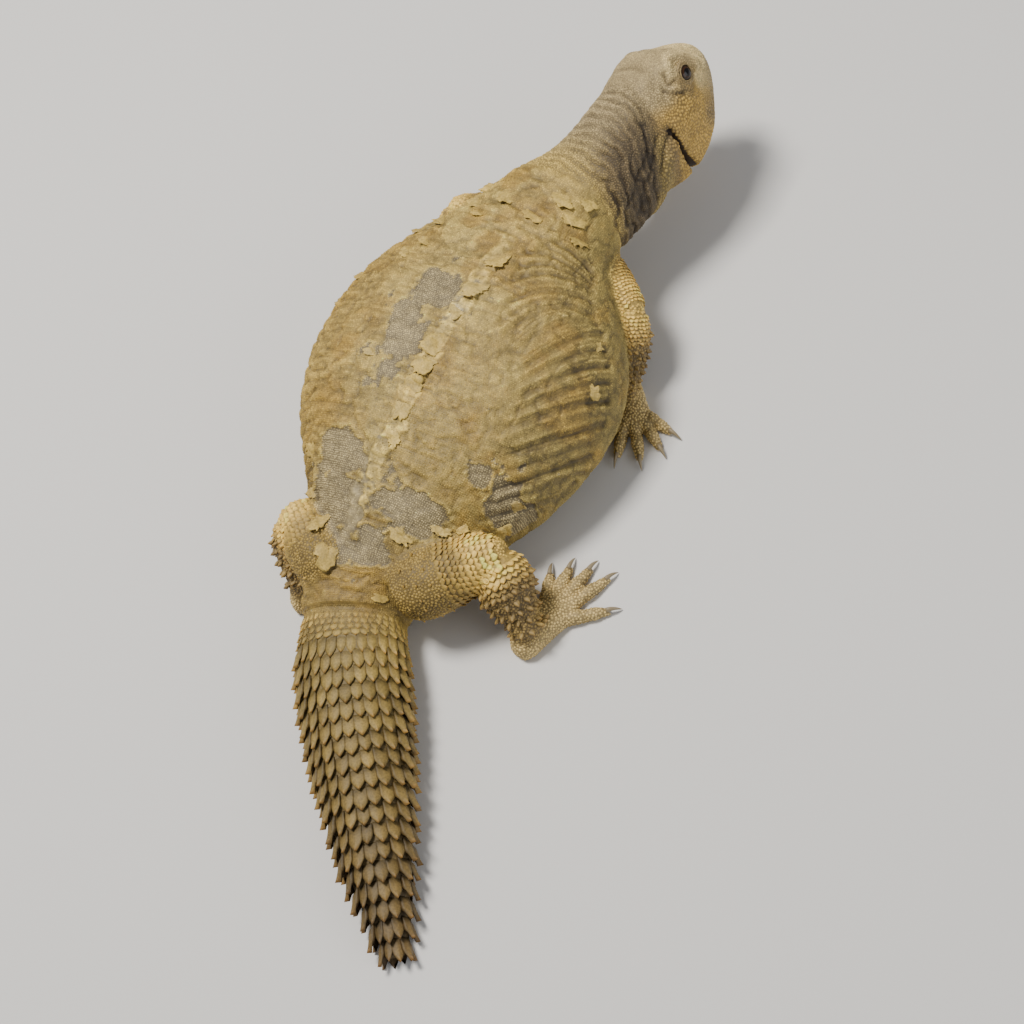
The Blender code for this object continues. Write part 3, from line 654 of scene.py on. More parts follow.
def on_neck(points):
    """Share of the neck's length, angle round it and how far outside it."""
    ring = nearest_rows(points, NECK_CENTRES)
    t = np.empty(len(points))
    angle = np.empty(len(points))
    outside = np.empty(len(points))
    for k, (centre, axes, (half, rise, depth), power) in enumerate(NECK):
        mine = ring == k
        local = (points[mine] - centre) @ axes
        tall = np.where(local[:, 2] > 0, rise, depth)
        rho = (np.abs(local[:, 0] / half) ** power + np.abs(local[:, 2] / tall) ** power) ** (1 / power)
        t[mine] = (k + local[:, 1] * NECK_RINGS / NECK_LENGTH) / NECK_RINGS
        angle[mine] = np.arctan2(local[:, 2] / tall, local[:, 0] / half)
        outside[mine] = np.abs(rho - 1) * half
    return t, angle, outside + np.maximum(np.abs(t - 0.5) - 0.5, 0) * 0.1


def on_head(points):
    """The points in the head's frame, and how far outside the head."""
    local = (points - HEAD_ORIGIN) @ HEAD_AXES
    y = local[:, 1].copy()
    for _ in range(4):
        lean = np.radians(smooth(HEAD, y, 2))
        high = (local[:, 2] - smooth(HEAD, y, 1)) / np.cos(lean)
        y = local[:, 1] + high * np.sin(lean)
    axis, lean, half, rise, depth, top_loss, low_loss = [smooth(HEAD, y, c) for c in range(1, 8)]
    tall = np.where(high > 0, rise, depth)
    loss = np.where(high > 0, top_loss, low_loss) * np.abs(high) / tall
    wide = half * (1 - np.minimum(loss, 0.9))
    rho = (np.abs(local[:, 0] / wide) ** HEAD_POWER + np.abs(high / tall) ** HEAD_POWER) ** (
        1 / HEAD_POWER
    )
    outside = np.abs(rho - 1) * half + np.maximum(HEAD[0][0] - y, 0) * 2
    outside = np.where(y > HEAD_LENGTH - 0.001, np.minimum(outside, 0.002), outside)
    return local, outside, (1 - rho) * half


def on_limb(points, start, stop, profile, share):
    """Share of the limb's length, angle round it and how far outside it."""
    across, along, up = limb_axes(start, stop)
    gap = points - start
    t = gap @ along / np.linalg.norm(stop - start)
    x, z = gap @ across, gap @ up
    wide = smooth(profile, t, 1) * share
    high = smooth(profile, t, 2) * share
    rho = np.sqrt((x / wide) ** 2 + (z / high) ** 2)
    outside = np.abs(rho - 1) * wide
    outside += np.maximum(t - profile[-1][0], 0) * 0.1 + np.maximum(-t, 0) * 0.1
    return t, np.arctan2(z / high, x / wide), outside


BODY, NECKED, HEADED, LIMBED, FOOTED = 0, 1, 2, 3, 11


def places(points, edges):
    """What is near each point: its region, and its coordinates on each part of the animal."""
    s, side, up, body_gap = on_body(points)
    neck_t, neck_angle, neck_gap = on_neck(points)
    local, head_gap, head_depth = on_head(points)
    gaps = [body_gap, neck_gap, head_gap]
    limb = []
    for key, start, stop, profile, share in LIMB_PARTS:
        t, angle, gap = on_limb(points, start, stop, profile, share)
        limb.append((t, angle))
        gaps.append(gap)
    region = np.argmin(gaps, axis=0)
    region[(region == BODY) & (head_gap < 0.004) & (s > TRUNK_LENGTH)] = HEADED
    inside_mouth = (head_depth > 0.0006) & (local[:, 1] > MOUTH_CORNER[0] - 0.002)
    inside_mouth &= (np.abs(local[:, 2] + 0.030) < 0.016) & (np.abs(head_gap) < 0.012)
    region[inside_mouth & (region != BODY)] = HEADED
    for k, key in enumerate(LIMBS):
        origin, axes = foot_place(key)
        toes, palm_length, palm_half = foot_toes(key)
        own = (points - origin) @ axes.T
        reach = np.linalg.norm(own[:, :2] - (0, palm_length * 0.8), axis=1)
        near = (points[:, 2] < 0.0125) & (reach < palm_length * 0.8 + 0.032) & (own[:, 1] > -0.013)
        near &= body_gap > 0.004
        region[near] = FOOTED + k
    groups = np.select([region < LIMBED, region < FOOTED], [region, 3], 4)
    return {
        "s": s,
        "side": side,
        "up": up,
        "neck": neck_t,
        "neck_angle": neck_angle,
        "head": local,
        "head_depth": head_depth,
        "limb": limb,
        "nearest_limb": np.argmin(gaps[LIMBED:], axis=0),
        "region": region,
        "soft": blurred(np.eye(5)[groups], edges, 12),
        "points": points,
    }


# ---- Folds, wrinkles and pits
# Folds of the right flank: (arc length, share of the half width) from the armpit inwards
FOLDS = [
    [(0.224, 0.90), (0.226, 0.58), (0.224, 0.34)],
    [(0.217, 0.86), (0.216, 0.45), (0.203, 0.12)],
    [(0.210, 0.84), (0.204, 0.45), (0.181, 0.14)],
    [(0.203, 0.84), (0.192, 0.46), (0.165, 0.20)],
    [(0.196, 0.86), (0.182, 0.50), (0.146, 0.33)],
    [(0.190, 0.90), (0.170, 0.69), (0.132, 0.48)],
    [(0.176, 0.95), (0.153, 0.76), (0.117, 0.52)],
    [(0.158, 0.985), (0.134, 0.82), (0.104, 0.58)],
    [(0.145, 0.995), (0.118, 0.87), (0.092, 0.64)],
    [(0.128, 1.0), (0.100, 0.92), (0.074, 0.72)],
    [(0.112, 1.0), (0.086, 0.98), (0.064, 0.86)],
]
FOLD_WIDTH = 0.0015  # from a fold's bottom to where its depth has fallen to a third
FOLD_DEPTH = 0.0040
# Sunken grey patches of the back: (arc length, share of the half width, radius along, across)
PATCHES = [
    (0.168, -0.20, 0.0120, 0.0150),
    (0.150, -0.27, 0.0100, 0.0100),
    (0.135, -0.22, 0.0175, 0.0120),
    (0.070, -0.44, 0.0130, 0.0160),
    (0.046, -0.46, 0.0160, 0.0170),
    (0.026, -0.30, 0.0100, 0.0120),
    (0.054, 0.36, 0.0100, 0.0230),
    (0.030, 0.20, 0.0100, 0.0090),
    (0.078, 0.93, 0.0100, 0.0110),
    (0.084, 0.66, 0.0050, 0.0060),
]
# The strip of old skin along the back: (arc length, share of the half width)
STRIP = [
    (0.034, -0.15),
    (0.065, -0.12),
    (0.088, -0.02),
    (0.104, -0.03),
    (0.125, -0.03),
    (0.148, 0.01),
    (0.168, 0.02),
    (0.189, 0.03),
]
OCHRE_SPOTS = [  # (arc length, share of the half width, radius)
    (0.126, -0.60, 0.009),
    (0.251, -0.57, 0.010),
    (0.219, -0.40, 0.009),
    (0.206, -0.10, 0.008),
    (0.100, -0.62, 0.010),
    (0.237, 0.13, 0.009),
]


def angle_of(share):
    """Angle round the body, from the right side, at a share of the half width on the back."""
    share = np.asarray(share, float)
    turn = np.sign(share) * np.abs(np.clip(share, -1, 1)) ** (BODY_POWER / 2)
    return np.pi / 2 - np.arcsin(turn)


# Swellings (hollows below 0) of each side of the head: (forwards, height, radii, rise)
FACE_SWELLS = [
    (0.031, -0.008, 0.009, 0.008, 0.0010),
    (0.008, 0.000, 0.005, 0.008, -0.0014),
    (0.019, 0.0025, 0.005, 0.0030, 0.0010),
    (0.011, -0.016, 0.006, 0.007, 0.0012),
    (0.021, -0.038, 0.005, 0.010, 0.0014),
]
# Creases of each side of the head and throat: (forwards, height) along each
FACE_CREASES = [
    [(0.0170, -0.0220), (0.0165, -0.0320), (0.0180, -0.0440)],
    [(0.0010, -0.0220), (0.0055, -0.0340), (0.0020, -0.0470), (0.0030, -0.0640)],
    [(0.0105, -0.0270), (0.0115, -0.0380), (0.0100, -0.0500)],
    [(0.0130, -0.0010), (0.0170, -0.0020), (0.0230, -0.0005)],
    [(0.0120, 0.0080), (0.0145, 0.0030), (0.0180, 0.0060)],
]


def fold_points():
    """Points along every fold, 1 mm apart, with the share of the full depth at each."""
    points, shares = [], []
    count = 2 * len(FOLDS) - 1
    for k in range(count):
        low, high = FOLDS[k // 2], FOLDS[min((k + 1) // 2, len(FOLDS) - 1)]
        start, middle, stop = [(np.array(a) + np.array(b)) / 2 for a, b in zip(low, high)]
        t = np.linspace(0, 1, 90)[:, None]
        line = start * (1 - t) * (1 - 2 * t) + middle * 4 * t * (1 - t) + stop * t * (2 * t - 1)
        points.append(body_points(line[:, 0], angle_of(line[:, 1])))
        fade = step(0, 0.06, t[:, 0]) * (1 - 0.45 * t[:, 0]) * (1 - step(0.75, 1, t[:, 0]))
        shares.append(fade * (1.0 if k % 2 == 0 else 0.35 + 0.15 * (k * 3 % 5)))
    return np.concatenate(points), np.concatenate(shares)


def fold_depth(at):
    """Depth of the flank's folds, as a share of the deepest, at the points."""
    line, shares = fold_points()
    depth = np.zeros(len(at["s"]))
    near = (at["region"] == BODY) & (at["side"] > 0) & (at["s"] > 0.05) & (at["s"] < 0.24)
    points = at["points"][near]
    bent = points + 0.0026 * rough(points, 0.013, SEED + 8)[:, None] * (0.6, 0.6, 0.2)
    which = nearest_rows(bent, line)
    gap = np.linalg.norm(bent - line[which], axis=1)
    beside = (1 - np.abs(np.sin(np.pi * gap / 0.0021))) ** 1.5 * step(0.0012, 0.0018, gap)
    depth[near] = shares[which] * (np.exp(-gap / FOLD_WIDTH) + 0.28 * beside * step(0.008, 0.004, gap))
    return depth


def side_share(at):
    return at["side"] / body_sizes(at["s"])[1]


def body_metres(at, s, share):
    """Distances along and across, on the back, from a place to the points."""
    half = body_sizes(np.array(s))[1]
    return at["s"] - s, at["side"] - share * half


def on_back(at):
    return ((at["region"] == BODY) & (at["up"] > 0)).astype(float)


def patch_place(at):
    """How far outside the grey patches the points are: 1 at their ragged borders."""
    points = at["points"]
    ragged = 0.42 * rough(points, 0.008, SEED + 1, 3) + 0.14 * rough(points, 0.0026, SEED + 14, 2)
    nearest = np.full(len(points), 9.0)
    for s, share, along, across in PATCHES:
        ahead, over = body_metres(at, s, share)
        nearest = np.minimum(nearest, np.sqrt((ahead / along) ** 2 + (over / across) ** 2))
    specks = 1.36 - rough(points, 0.0065, SEED + 9, 4) + 0.28 * np.minimum(nearest, 3.0)
    return np.where(on_back(at) > 0, np.minimum(nearest + ragged, np.maximum(specks, 0.0)), 9.0)


def patch_share(at):
    """How bare of old skin the points are: 1 where the new grey skin shows."""
    return 1 - step(0.96, 1.04, patch_place(at))


def strip_share(at):
    """How much old skin the dorsal strip has at the points."""
    points = at["points"]
    middle = smooth(STRIP, at["s"], 1) * body_sizes(at["s"])[1]
    gap = np.abs(at["side"] - middle) / 0.0060
    ragged = 0.40 * rough(points, 0.008, SEED + 2) + 0.20 * rough(points, 0.0026, SEED + 15, 2)
    ends = step(0.02, 0.05, at["s"]) * (1 - step(0.195, 0.225, at["s"]))
    return (1 - step(0.80, 1.00, gap + ragged)) * ends * on_back(at)


def stretched(at, size, along, seed):
    """Noise drawn out across the body, as wrinkles that run from the back down the flanks."""
    flat = np.stack([at["s"], at["side"] / along, at["up"] / along], 1)
    return rough(flat, size, seed)


def neck_wrinkles(at):
    """Depth of the wrinkles across the neck, as a share of the deepest."""
    length = at["neck"] * NECK_LENGTH
    bent = rough(at["points"], 0.014, SEED + 3)
    broken = 0.6 + 0.4 * noise(at["points"], 0.010, SEED + 13)
    fine = np.abs(np.sin(np.pi * (length / 0.0044 + 0.50 * bent)))
    coarse = np.abs(np.sin(np.pi * (length / 0.0105 + 0.60 * bent + 0.4)))
    lower = step(-0.1, 0.8, np.cos(at["neck_angle"] + 0.75))
    return 0.75 * broken * (1 - fine) ** 0.9 + 0.90 * lower * (1 - coarse) ** 1.4


def creases(at):
    """Depth of the small creases of old skin, as a share of the deepest."""
    line = 1 - np.abs(rough(at["points"], 0.011, SEED + 10)) * 3.2
    across = 1 - np.abs(stretched(at, 0.0042, 6.0, SEED + 11)) * 2.2
    calm = 1 - step(0.25, 0.55, side_share(at))
    return 0.8 * np.clip(line, 0, 1) ** 1.5 + 0.8 * np.clip(across, 0, 1) ** 1.5 * calm


def pits(at):
    """Depth of the nostrils and ear openings."""
    local = at["head"]
    x = np.abs(local[:, 0])
    nostril = np.linalg.norm(np.stack([x, local[:, 1], local[:, 2]], 1) - NOSTRIL_AT, axis=1)
    ear = np.stack([(x - EAR_AT[0]) / 2, local[:, 1] - EAR_AT[1], (local[:, 2] - EAR_AT[2]) / 2.6], 1)
    ear = np.linalg.norm(ear, axis=1)
    return 0.0022 * bell(nostril, 0.0013) + 0.0032 * bell(ear, 0.0016)


def eye_rim(at):
    """Height of the swollen skin round the eyes and of the brows, as a share of the highest."""
    local = at["head"]
    gap = np.stack([np.abs(local[:, 0]), local[:, 1], local[:, 2]], 1) - EYE_AT
    flat = np.hypot(gap[:, 1], gap[:, 2] * 0.85)
    behind = step(0.002, -0.010, gap[:, 1])
    above = step(-0.003, 0.003, gap[:, 2]) * step(0.012, 0.006, gap[:, 1])
    brow = bell(flat - 0.0086 - 0.0028 * behind, 0.0018) * above
    return (0.4 * bell(flat - 0.0062, 0.0014) + 1.6 * brow) * (np.abs(gap[:, 0]) < 0.016)


def face_forms(at):
    """Rise of the swellings of the head and depth of its creases, in metres."""
    y, z = at["head"][:, 1], at["head"][:, 2]
    rise = np.zeros(len(y))
    for ahead, high, long, tall, height in FACE_SWELLS:
        rise += height * np.exp(-(((y - ahead) / long) ** 2) - ((z - high) / tall) ** 2)
    top = step(0.006, 0.012, z)
    rise += top * (0.0012 * bell(y - 0.012, 0.0045) - 0.0012 * bell(y - 0.004, 0.0018))
    gap = np.full(len(y), 1.0)
    here = np.stack([y, z], 1) + 0.0008 * rough(at["points"], 0.006, SEED + 16)[:, None]
    for line in FACE_CREASES:
        for start, stop in zip(np.array(line), np.array(line[1:])):
            way = stop - start
            t = np.clip((here - start) @ way / (way @ way), 0, 1)[:, None]
            gap = np.minimum(gap, np.linalg.norm(here - start - t * way, axis=1))
    return rise, np.exp(-gap / 0.0011)


def relief(at):
    """How far the skin rises (or sinks, below 0) at the points, and how dark its grooves are: partly dirt, partly
    painted shade.
    """
    points, soft = at["points"], at["soft"]
    share = side_share(at)
    body, neck, head, limb, foot = soft.T
    trunk = body * step(-0.010, 0.010, at["s"])
    place = patch_place(at)
    bare = 1 - step(0.96, 1.04, place)
    strip = strip_share(at)
    folds, wrinkles, small = fold_depth(at), neck_wrinkles(at) * neck, creases(at) * trunk
    small = small * (1 - 0.7 * bare)
    swell, crease = face_forms(at)
    face = head + 0.9 * neck * step(-0.012, 0.0, at["head"][:, 1])
    lift = (swell - 0.0017 * crease) * face
    lift -= FOLD_DEPTH * folds
    lift -= 0.00055 * bare
    lift += 0.00050 * bell(place - 1.10, 0.07) * trunk
    crumple = rough(points, 0.004, SEED + 4) + 0.6 * rough(points, 0.0022, SEED + 17, 2)
    lift += 0.00070 * strip * (0.8 + 0.7 * crumple)
    lift -= 0.00080 * small
    lift += 0.00030 * rough(points, 0.0055, SEED + 5) * trunk
    wave = at["s"] / 0.0092 + rough(points, 0.022, SEED + 6) * 0.9
    left = trunk * step(0.45, 0.85, -share) * on_back(at)
    lift += 0.0012 * (np.abs(np.sin(np.pi * wave)) - 0.8) * left
    lift -= 0.0020 * wrinkles
    lift += 0.00020 * rough(points, 0.005, SEED + 7) * head
    lift += 0.0011 * eye_rim(at) * head
    lift -= pits(at) * head
    lift -= 0.00030 * np.clip(1 - np.abs(rough(points, 0.009, SEED + 12)) * 2, 0, 1) * limb
    # Painted shadow: a dark line at the foot of the raised borders round the grey patches.
    edge = bell(place - 0.97, 0.05) * trunk
    # The folds, wrinkles and creases are darkened partly as dirt in them and partly as painted shade.
    dark = 1.0 * folds + 1.0 * wrinkles + 0.42 * small + 0.45 * edge + 0.85 * crease * face
    # Painted shade in the valleys of the crumpled strip.
    dark += 0.35 * strip * step(0.1, -0.7, crumple)
    return lift, np.clip(dark, 0, 1)


# ---- Colours
def paint(code):
    """A display colour as three linear shares."""
    c = np.array([int(code[i : i + 2], 16) for i in (0, 2, 4)]) / 255
    return np.where(c <= 0.04045, c / 12.92, ((c + 0.055) / 1.055) ** 2.4)


SAND = paint("c8ab58")
OCHRE = paint("b8943e")
STRAW = paint("dfc46c")
GREY = paint("a8986f")
PALE = paint("e6dcc0")
OLIVE = paint("a38f4c")
NECK_BROWN = paint("7a6743")
THROAT = paint("5d4e38")
LEG = paint("9f8440")
KNEE = paint("f2ca64")
SHIN = paint("8a7240")
FOOT = paint("d6ba78")
TAIL_ROOT = paint("8c773c")
TAIL_TIP = paint("5c4926")
CHEEK = paint("caa450")
CROWN = paint("efd494")
NAPE = paint("b6a172")
LILAC = paint("94825f")
# Painted shade for hollows and between the scales, and dirt with painted shade in the creases.
SHADE_AND_DIRT = paint("33281a")
# The mouth's gap: partly its own dark colour, partly painted shade inside it.
MOUTH_DARK = paint("2a1712")
LID = paint("a08a5e")


def mixed(base, colour, share):
    return base + (colour - base) * np.clip(share, 0, 1)[:, None]


def trunk_colour(at):
    """Colours of the trunk: old skin in sand and ochre, olive on the right flank, grey where bare."""
    points = at["points"]
    share = side_share(at)
    blotch = rough(points, 0.020, SEED + 20)
    fine = rough(points, 0.005, SEED + 21)
    colour = np.tile(SAND, (len(points), 1))
    colour = mixed(colour, STRAW, 0.6 * step(-0.2, 0.9, rough(points, 0.03, SEED + 22)))
    colour = mixed(colour, OLIVE, 0.9 * step(0.20, 0.95, share + 0.20 * blotch))
    colour = mixed(colour, OCHRE, 0.35 * step(0.35, 0.95, -share + 0.15 * blotch))
    colour = mixed(colour, LEG, 0.8 * (1 - step(0.02, 0.10, at["s"] + 0.012 * blotch)))
    colour = mixed(colour, OCHRE, 0.6 * step(0.1, 0.8, blotch) + 0.3 * step(0.2, 0.8, fine))
    for s, place, radius in OCHRE_SPOTS:
        ahead, over = body_metres(at, s, place)
        gap = np.hypot(ahead, over) / radius + 0.4 * fine
        colour = mixed(colour, OCHRE, 0.8 * (1 - step(0.6, 1.2, gap)))
    colour = mixed(colour, STRAW, 0.30 * strip_share(at))
    colour = mixed(colour, STRAW, 0.5 * bell(patch_place(at) - 1.10, 0.08))
    ahead, over = body_metres(at, 0.166, 0.03)
    gap = np.hypot(ahead / 0.014, over / 0.006) + 0.5 * fine
    colour = mixed(colour, PALE, 0.55 * (1 - step(0.6, 1.2, gap)) * step(-0.2, 0.4, fine))
    return mixed(colour, GREY, 0.92 * patch_share(at))


def tail_colour(at):
    dark = np.clip(-at["s"] / TAIL_LENGTH, 0, 1) ** 0.8
    return TAIL_ROOT + (TAIL_TIP - TAIL_ROOT) * dark[:, None]


def neck_colour(at):
    colour = mixed(np.tile(SAND, (len(at["s"]), 1)), NAPE, step(0.0, 0.6, at["neck"]))
    lower = np.cos(at["neck_angle"] + 0.75)
    uneven = 0.25 * rough(at["points"], 0.015, SEED + 25)
    begins = step(-0.05, 0.45, at["neck"] + 0.4 * uneven)
    colour = mixed(colour, NECK_BROWN, 0.85 * step(-0.5, 0.5, lower + uneven) * begins)
    colour = mixed(colour, THROAT, 0.65 * step(0.3, 0.95, lower + uneven) * begins)
    return colour * (1 - 0.16 * begins)[:, None]


def head_colour(at):
    local = at["head"]
    y, high = local[:, 1], local[:, 2]
    uneven = 0.006 * rough(at["points"], 0.016, SEED + 20)
    colour = np.tile(CHEEK, (len(y), 1))
    colour = mixed(colour, OCHRE, 0.5 * step(0.3, 0.9, rough(at["points"], 0.007, SEED + 26)))
    colour = mixed(colour, CROWN, step(0.002, 0.016, high + uneven))
    back = y + 0.9 * np.clip(-high, 0, 0.02)
    colour = mixed(colour, NAPE, step(0.030, 0.012, back + uneven))
    below = MOUTH_CORNER[1] - 0.7 * (y - MOUTH_CORNER[0]) - high
    colour = mixed(colour, NECK_BROWN, 0.8 * step(-0.004, 0.006, below + uneven))
    colour = mixed(colour, OLIVE, 0.5 * step(0.004, 0.014, below + uneven))
    colour = mixed(colour, LILAC, 0.7 * step(0.043, 0.055, y + uneven) * step(-0.018, -0.004, high))
    # Painted shade: darker round the eye.
    eye = np.hypot(y - EYE_AT[1], (high - EYE_AT[2]) * 0.85)
    return mixed(colour, NECK_BROWN, 0.60 * step(0.0105, 0.0060, eye + 0.3 * uneven))


def limb_colour(at):
    colour = np.empty((len(at["s"]), 3))
    blotch = rough(at["points"], 0.018, SEED + 23)
    for k, (t, angle) in enumerate(at["limb"]):
        upper = k % 2 == 0
        bent = step(0.55, 0.90, t) if upper else 1 - step(0.08, 0.40, t)
        tint = mixed(np.tile(LEG if upper else SHIN, (len(t), 1)), KNEE, bent + 0.2 * blotch)
        mine = at["nearest_limb"] == k
        colour[mine] = tint[mine]
    return colour


def mouth_share(at):
    """How deep between the lips the points are, from 0 at the lips to 1."""
    local = at["head"]
    share = np.clip((local[:, 1] - MOUTH_CORNER[0]) / (HEAD_LENGTH - MOUTH_CORNER[0]), 0, 1)
    line = MOUTH_CORNER[1] - LIP_DROP * (1 - np.exp(-2.2 * share))
    near = np.abs(local[:, 2] - line) < 0.0045
    return step(0.0004, 0.0016, at["head_depth"]) * near * (local[:, 1] > MOUTH_CORNER[0] - 0.002)


def hide_colour(at, cavity, grooves):
    """The colour of the hide at the points: painted shade where sunk, painted light where raised, dirt and painted
    shade in grooves.
    """
    tail = step(-0.002, 0.018, -at["s"])[:, None]
    trunk = trunk_colour(at)
    body = trunk + (tail_colour(at) - trunk) * tail
    foot = np.tile(FOOT, (len(body), 1))
    parts = [body, neck_colour(at), head_colour(at), limb_colour(at), foot]
    colour = sum(at["soft"][:, k : k + 1] * part for k, part in enumerate(parts))
    fine = rough(at["points"], 0.004, SEED + 24)
    blotch = rough(at["points"], 0.018, SEED + 23)
    trunk = at["soft"][:, BODY]
    colour = colour * (1 + (0.10 + 0.14 * trunk) * fine + 0.13 * blotch)[:, None]
    # Painted shade in sunk places; the grooves are darkened partly as dirt in them and partly as painted shade.
    colour = mixed(colour, SHADE_AND_DIRT, np.maximum(0.70 * np.clip(cavity / 0.0006, 0, 1), 0.85 * grooves))
    # Painted light: raised places are lighter.
    colour = colour * (1 + 0.35 * np.clip(-cavity / 0.0004, 0, 1))[:, None]
    # The gap between the lips is painted near black: partly the mouth's own dark colour, partly painted shade
    # inside it.
    colour = mixed(colour, MOUTH_DARK, 0.95 * mouth_share(at) * (at["region"] == HEADED))
    return np.clip(colour, 0.003, 0.95)


def hide_material(name, bumpy):
    material = bpy.data.materials.new(name)
    material.use_nodes = True
    nodes, links = material.node_tree.nodes, material.node_tree.links
    shader = nodes["Principled BSDF"]
    shader.inputs["Roughness"].default_value = 0.62
    tint = nodes.new("ShaderNodeAttribute")
    tint.attribute_name = "marks"
    where = nodes.new("ShaderNodeTexCoord")
    grain = nodes.new("ShaderNodeTexNoise")
    grain.inputs["Scale"].default_value = 900
    grain.inputs["Detail"].default_value = 4
    links.new(where.outputs["Object"], grain.inputs["Vector"])
    ramp = nodes.new("ShaderNodeMapRange")
    ramp.inputs["From Min"].default_value = 0.3
    ramp.inputs["From Max"].default_value = 0.7
    ramp.inputs["To Min"].default_value = 0.72
    ramp.inputs["To Max"].default_value = 1.24
    links.new(grain.outputs["Fac"], ramp.inputs["Value"])
    shade = nodes.new("ShaderNodeVectorMath")
    shade.operation = "SCALE"
    links.new(tint.outputs["Color"], shade.inputs[0])
    links.new(ramp.outputs["Result"], shade.inputs["Scale"])
    links.new(shade.outputs[0], shader.inputs["Base Color"])
    bump = nodes.new("ShaderNodeBump")
    bump.inputs["Distance"].default_value = bumpy
    bump.inputs["Strength"].default_value = 0.6
    links.new(grain.outputs["Fac"], bump.inputs["Height"])
    links.new(bump.outputs["Normal"], shader.inputs["Normal"])
    return material


# ---- The skin
def set_marks(obj, colours):
    marks = obj.data.attributes.new("marks", "FLOAT_COLOR", "POINT")
    values = np.concatenate([colours, np.ones((len(colours), 1))], 1)
    marks.data.foreach_set("color", values.astype(np.float32).ravel())


def smooth_seams(points, normals, edges, at):
    """The points, evened out where the head, neck, trunk and limbs run into one another."""
    soft = at["soft"]
    seam = np.clip(1 - (soft**2).sum(1), 0, 0.5) * 2
    hollow = ((blurred(points, edges, 6) - points) * normals).sum(1)
    nape = (soft[:, NECKED] + soft[:, HEADED] > 0.5) & (at["head"][:, 1] < 0.012)
    seam = np.maximum(seam, np.clip(hollow / 0.0002, 0, 1) * nape)
    seam = blurred(seam, edges, 10)[:, None]
    even = blurred(points, edges, 70)
    return points + (even - points) * np.clip(seam * 2.0, 0, 1)


def make_skin():
    """The whole hide in one mesh, with its places and colours."""
    skin = bare_shape()
    points, normals, edges = mesh_arrays(skin)
    at = places(points, edges)
    points = smooth_seams(points, normals, edges, at)
    skin.data.vertices.foreach_set("co", points.ravel())
    skin.data.update()
    normals = mesh_arrays(skin)[1]
    lift, grooves = relief(at)
    lift = blurred(lift, edges, 1)
    cavity = blurred(lift, edges, 10) - lift
    points = points + normals * lift[:, None]
    points[:, 2] = np.maximum(points[:, 2], COAT)
    skin.data.vertices.foreach_set("co", points.ravel())
    skin.data.update()
    at["colour"] = hide_colour(at, cavity, grooves)
    body, neck, head, limb, foot = at["soft"].T
    # Painted shade between the scales: the skin under them is darkened, less on the crown, the tail and the
    # old-skin strip, more on the grey patches.
    gaps = 0.42 * body + 0.55 * neck + 0.52 * head + 0.60 * (limb + foot)
    gaps -= 0.22 * head * step(-0.004, 0.010, at["head"][:, 2])
    gaps += 0.16 * patch_share(at) - 0.35 * strip_share(at)
    gaps -= 0.15 * step(0.015, 0.025, -at["s"]) * body
    set_marks(skin, mixed(at["colour"], SHADE_AND_DIRT, gaps))
    skin.data.shade_smooth()
    return skin, at


# ---- Scales
def dome(rings, rim=0.45):
    """A round scale with painted shade at its rim, where it meets the skin: its points, triangles and shades."""
    points = [(0, 0, 1)]
    counts = [6] if rings == 1 else [6, 9]
    for r, n in enumerate(counts, 1):
        share = r / len(counts)
        high = -0.35 if r == len(counts) else 0.85
        for k in range(n):
            a = 2 * math.pi * (k + 0.25 * r) / n
            points.append((share * math.cos(a), share * math.sin(a), high))
    faces = [(0, 1 + k, 1 + (k + 1) % 6) for k in range(6)]
    i = o = 0
    while rings > 1 and i + o < 15:
        if o * 6 <= i * 9 and o < 9:
            faces.append((1 + i % 6, 7 + o % 9, 7 + (o + 1) % 9))
            o += 1
        else:
            faces.append((1 + i % 6, 7 + o % 9, 1 + (i + 1) % 6))
            i += 1
    points = np.array(points)
    # Painted shade: the rim is darkened.
    shade = np.where(points[:, 2] < 0, rim, 1.0)[:, None] * np.ones(3)
    return points, np.array(faces), shade


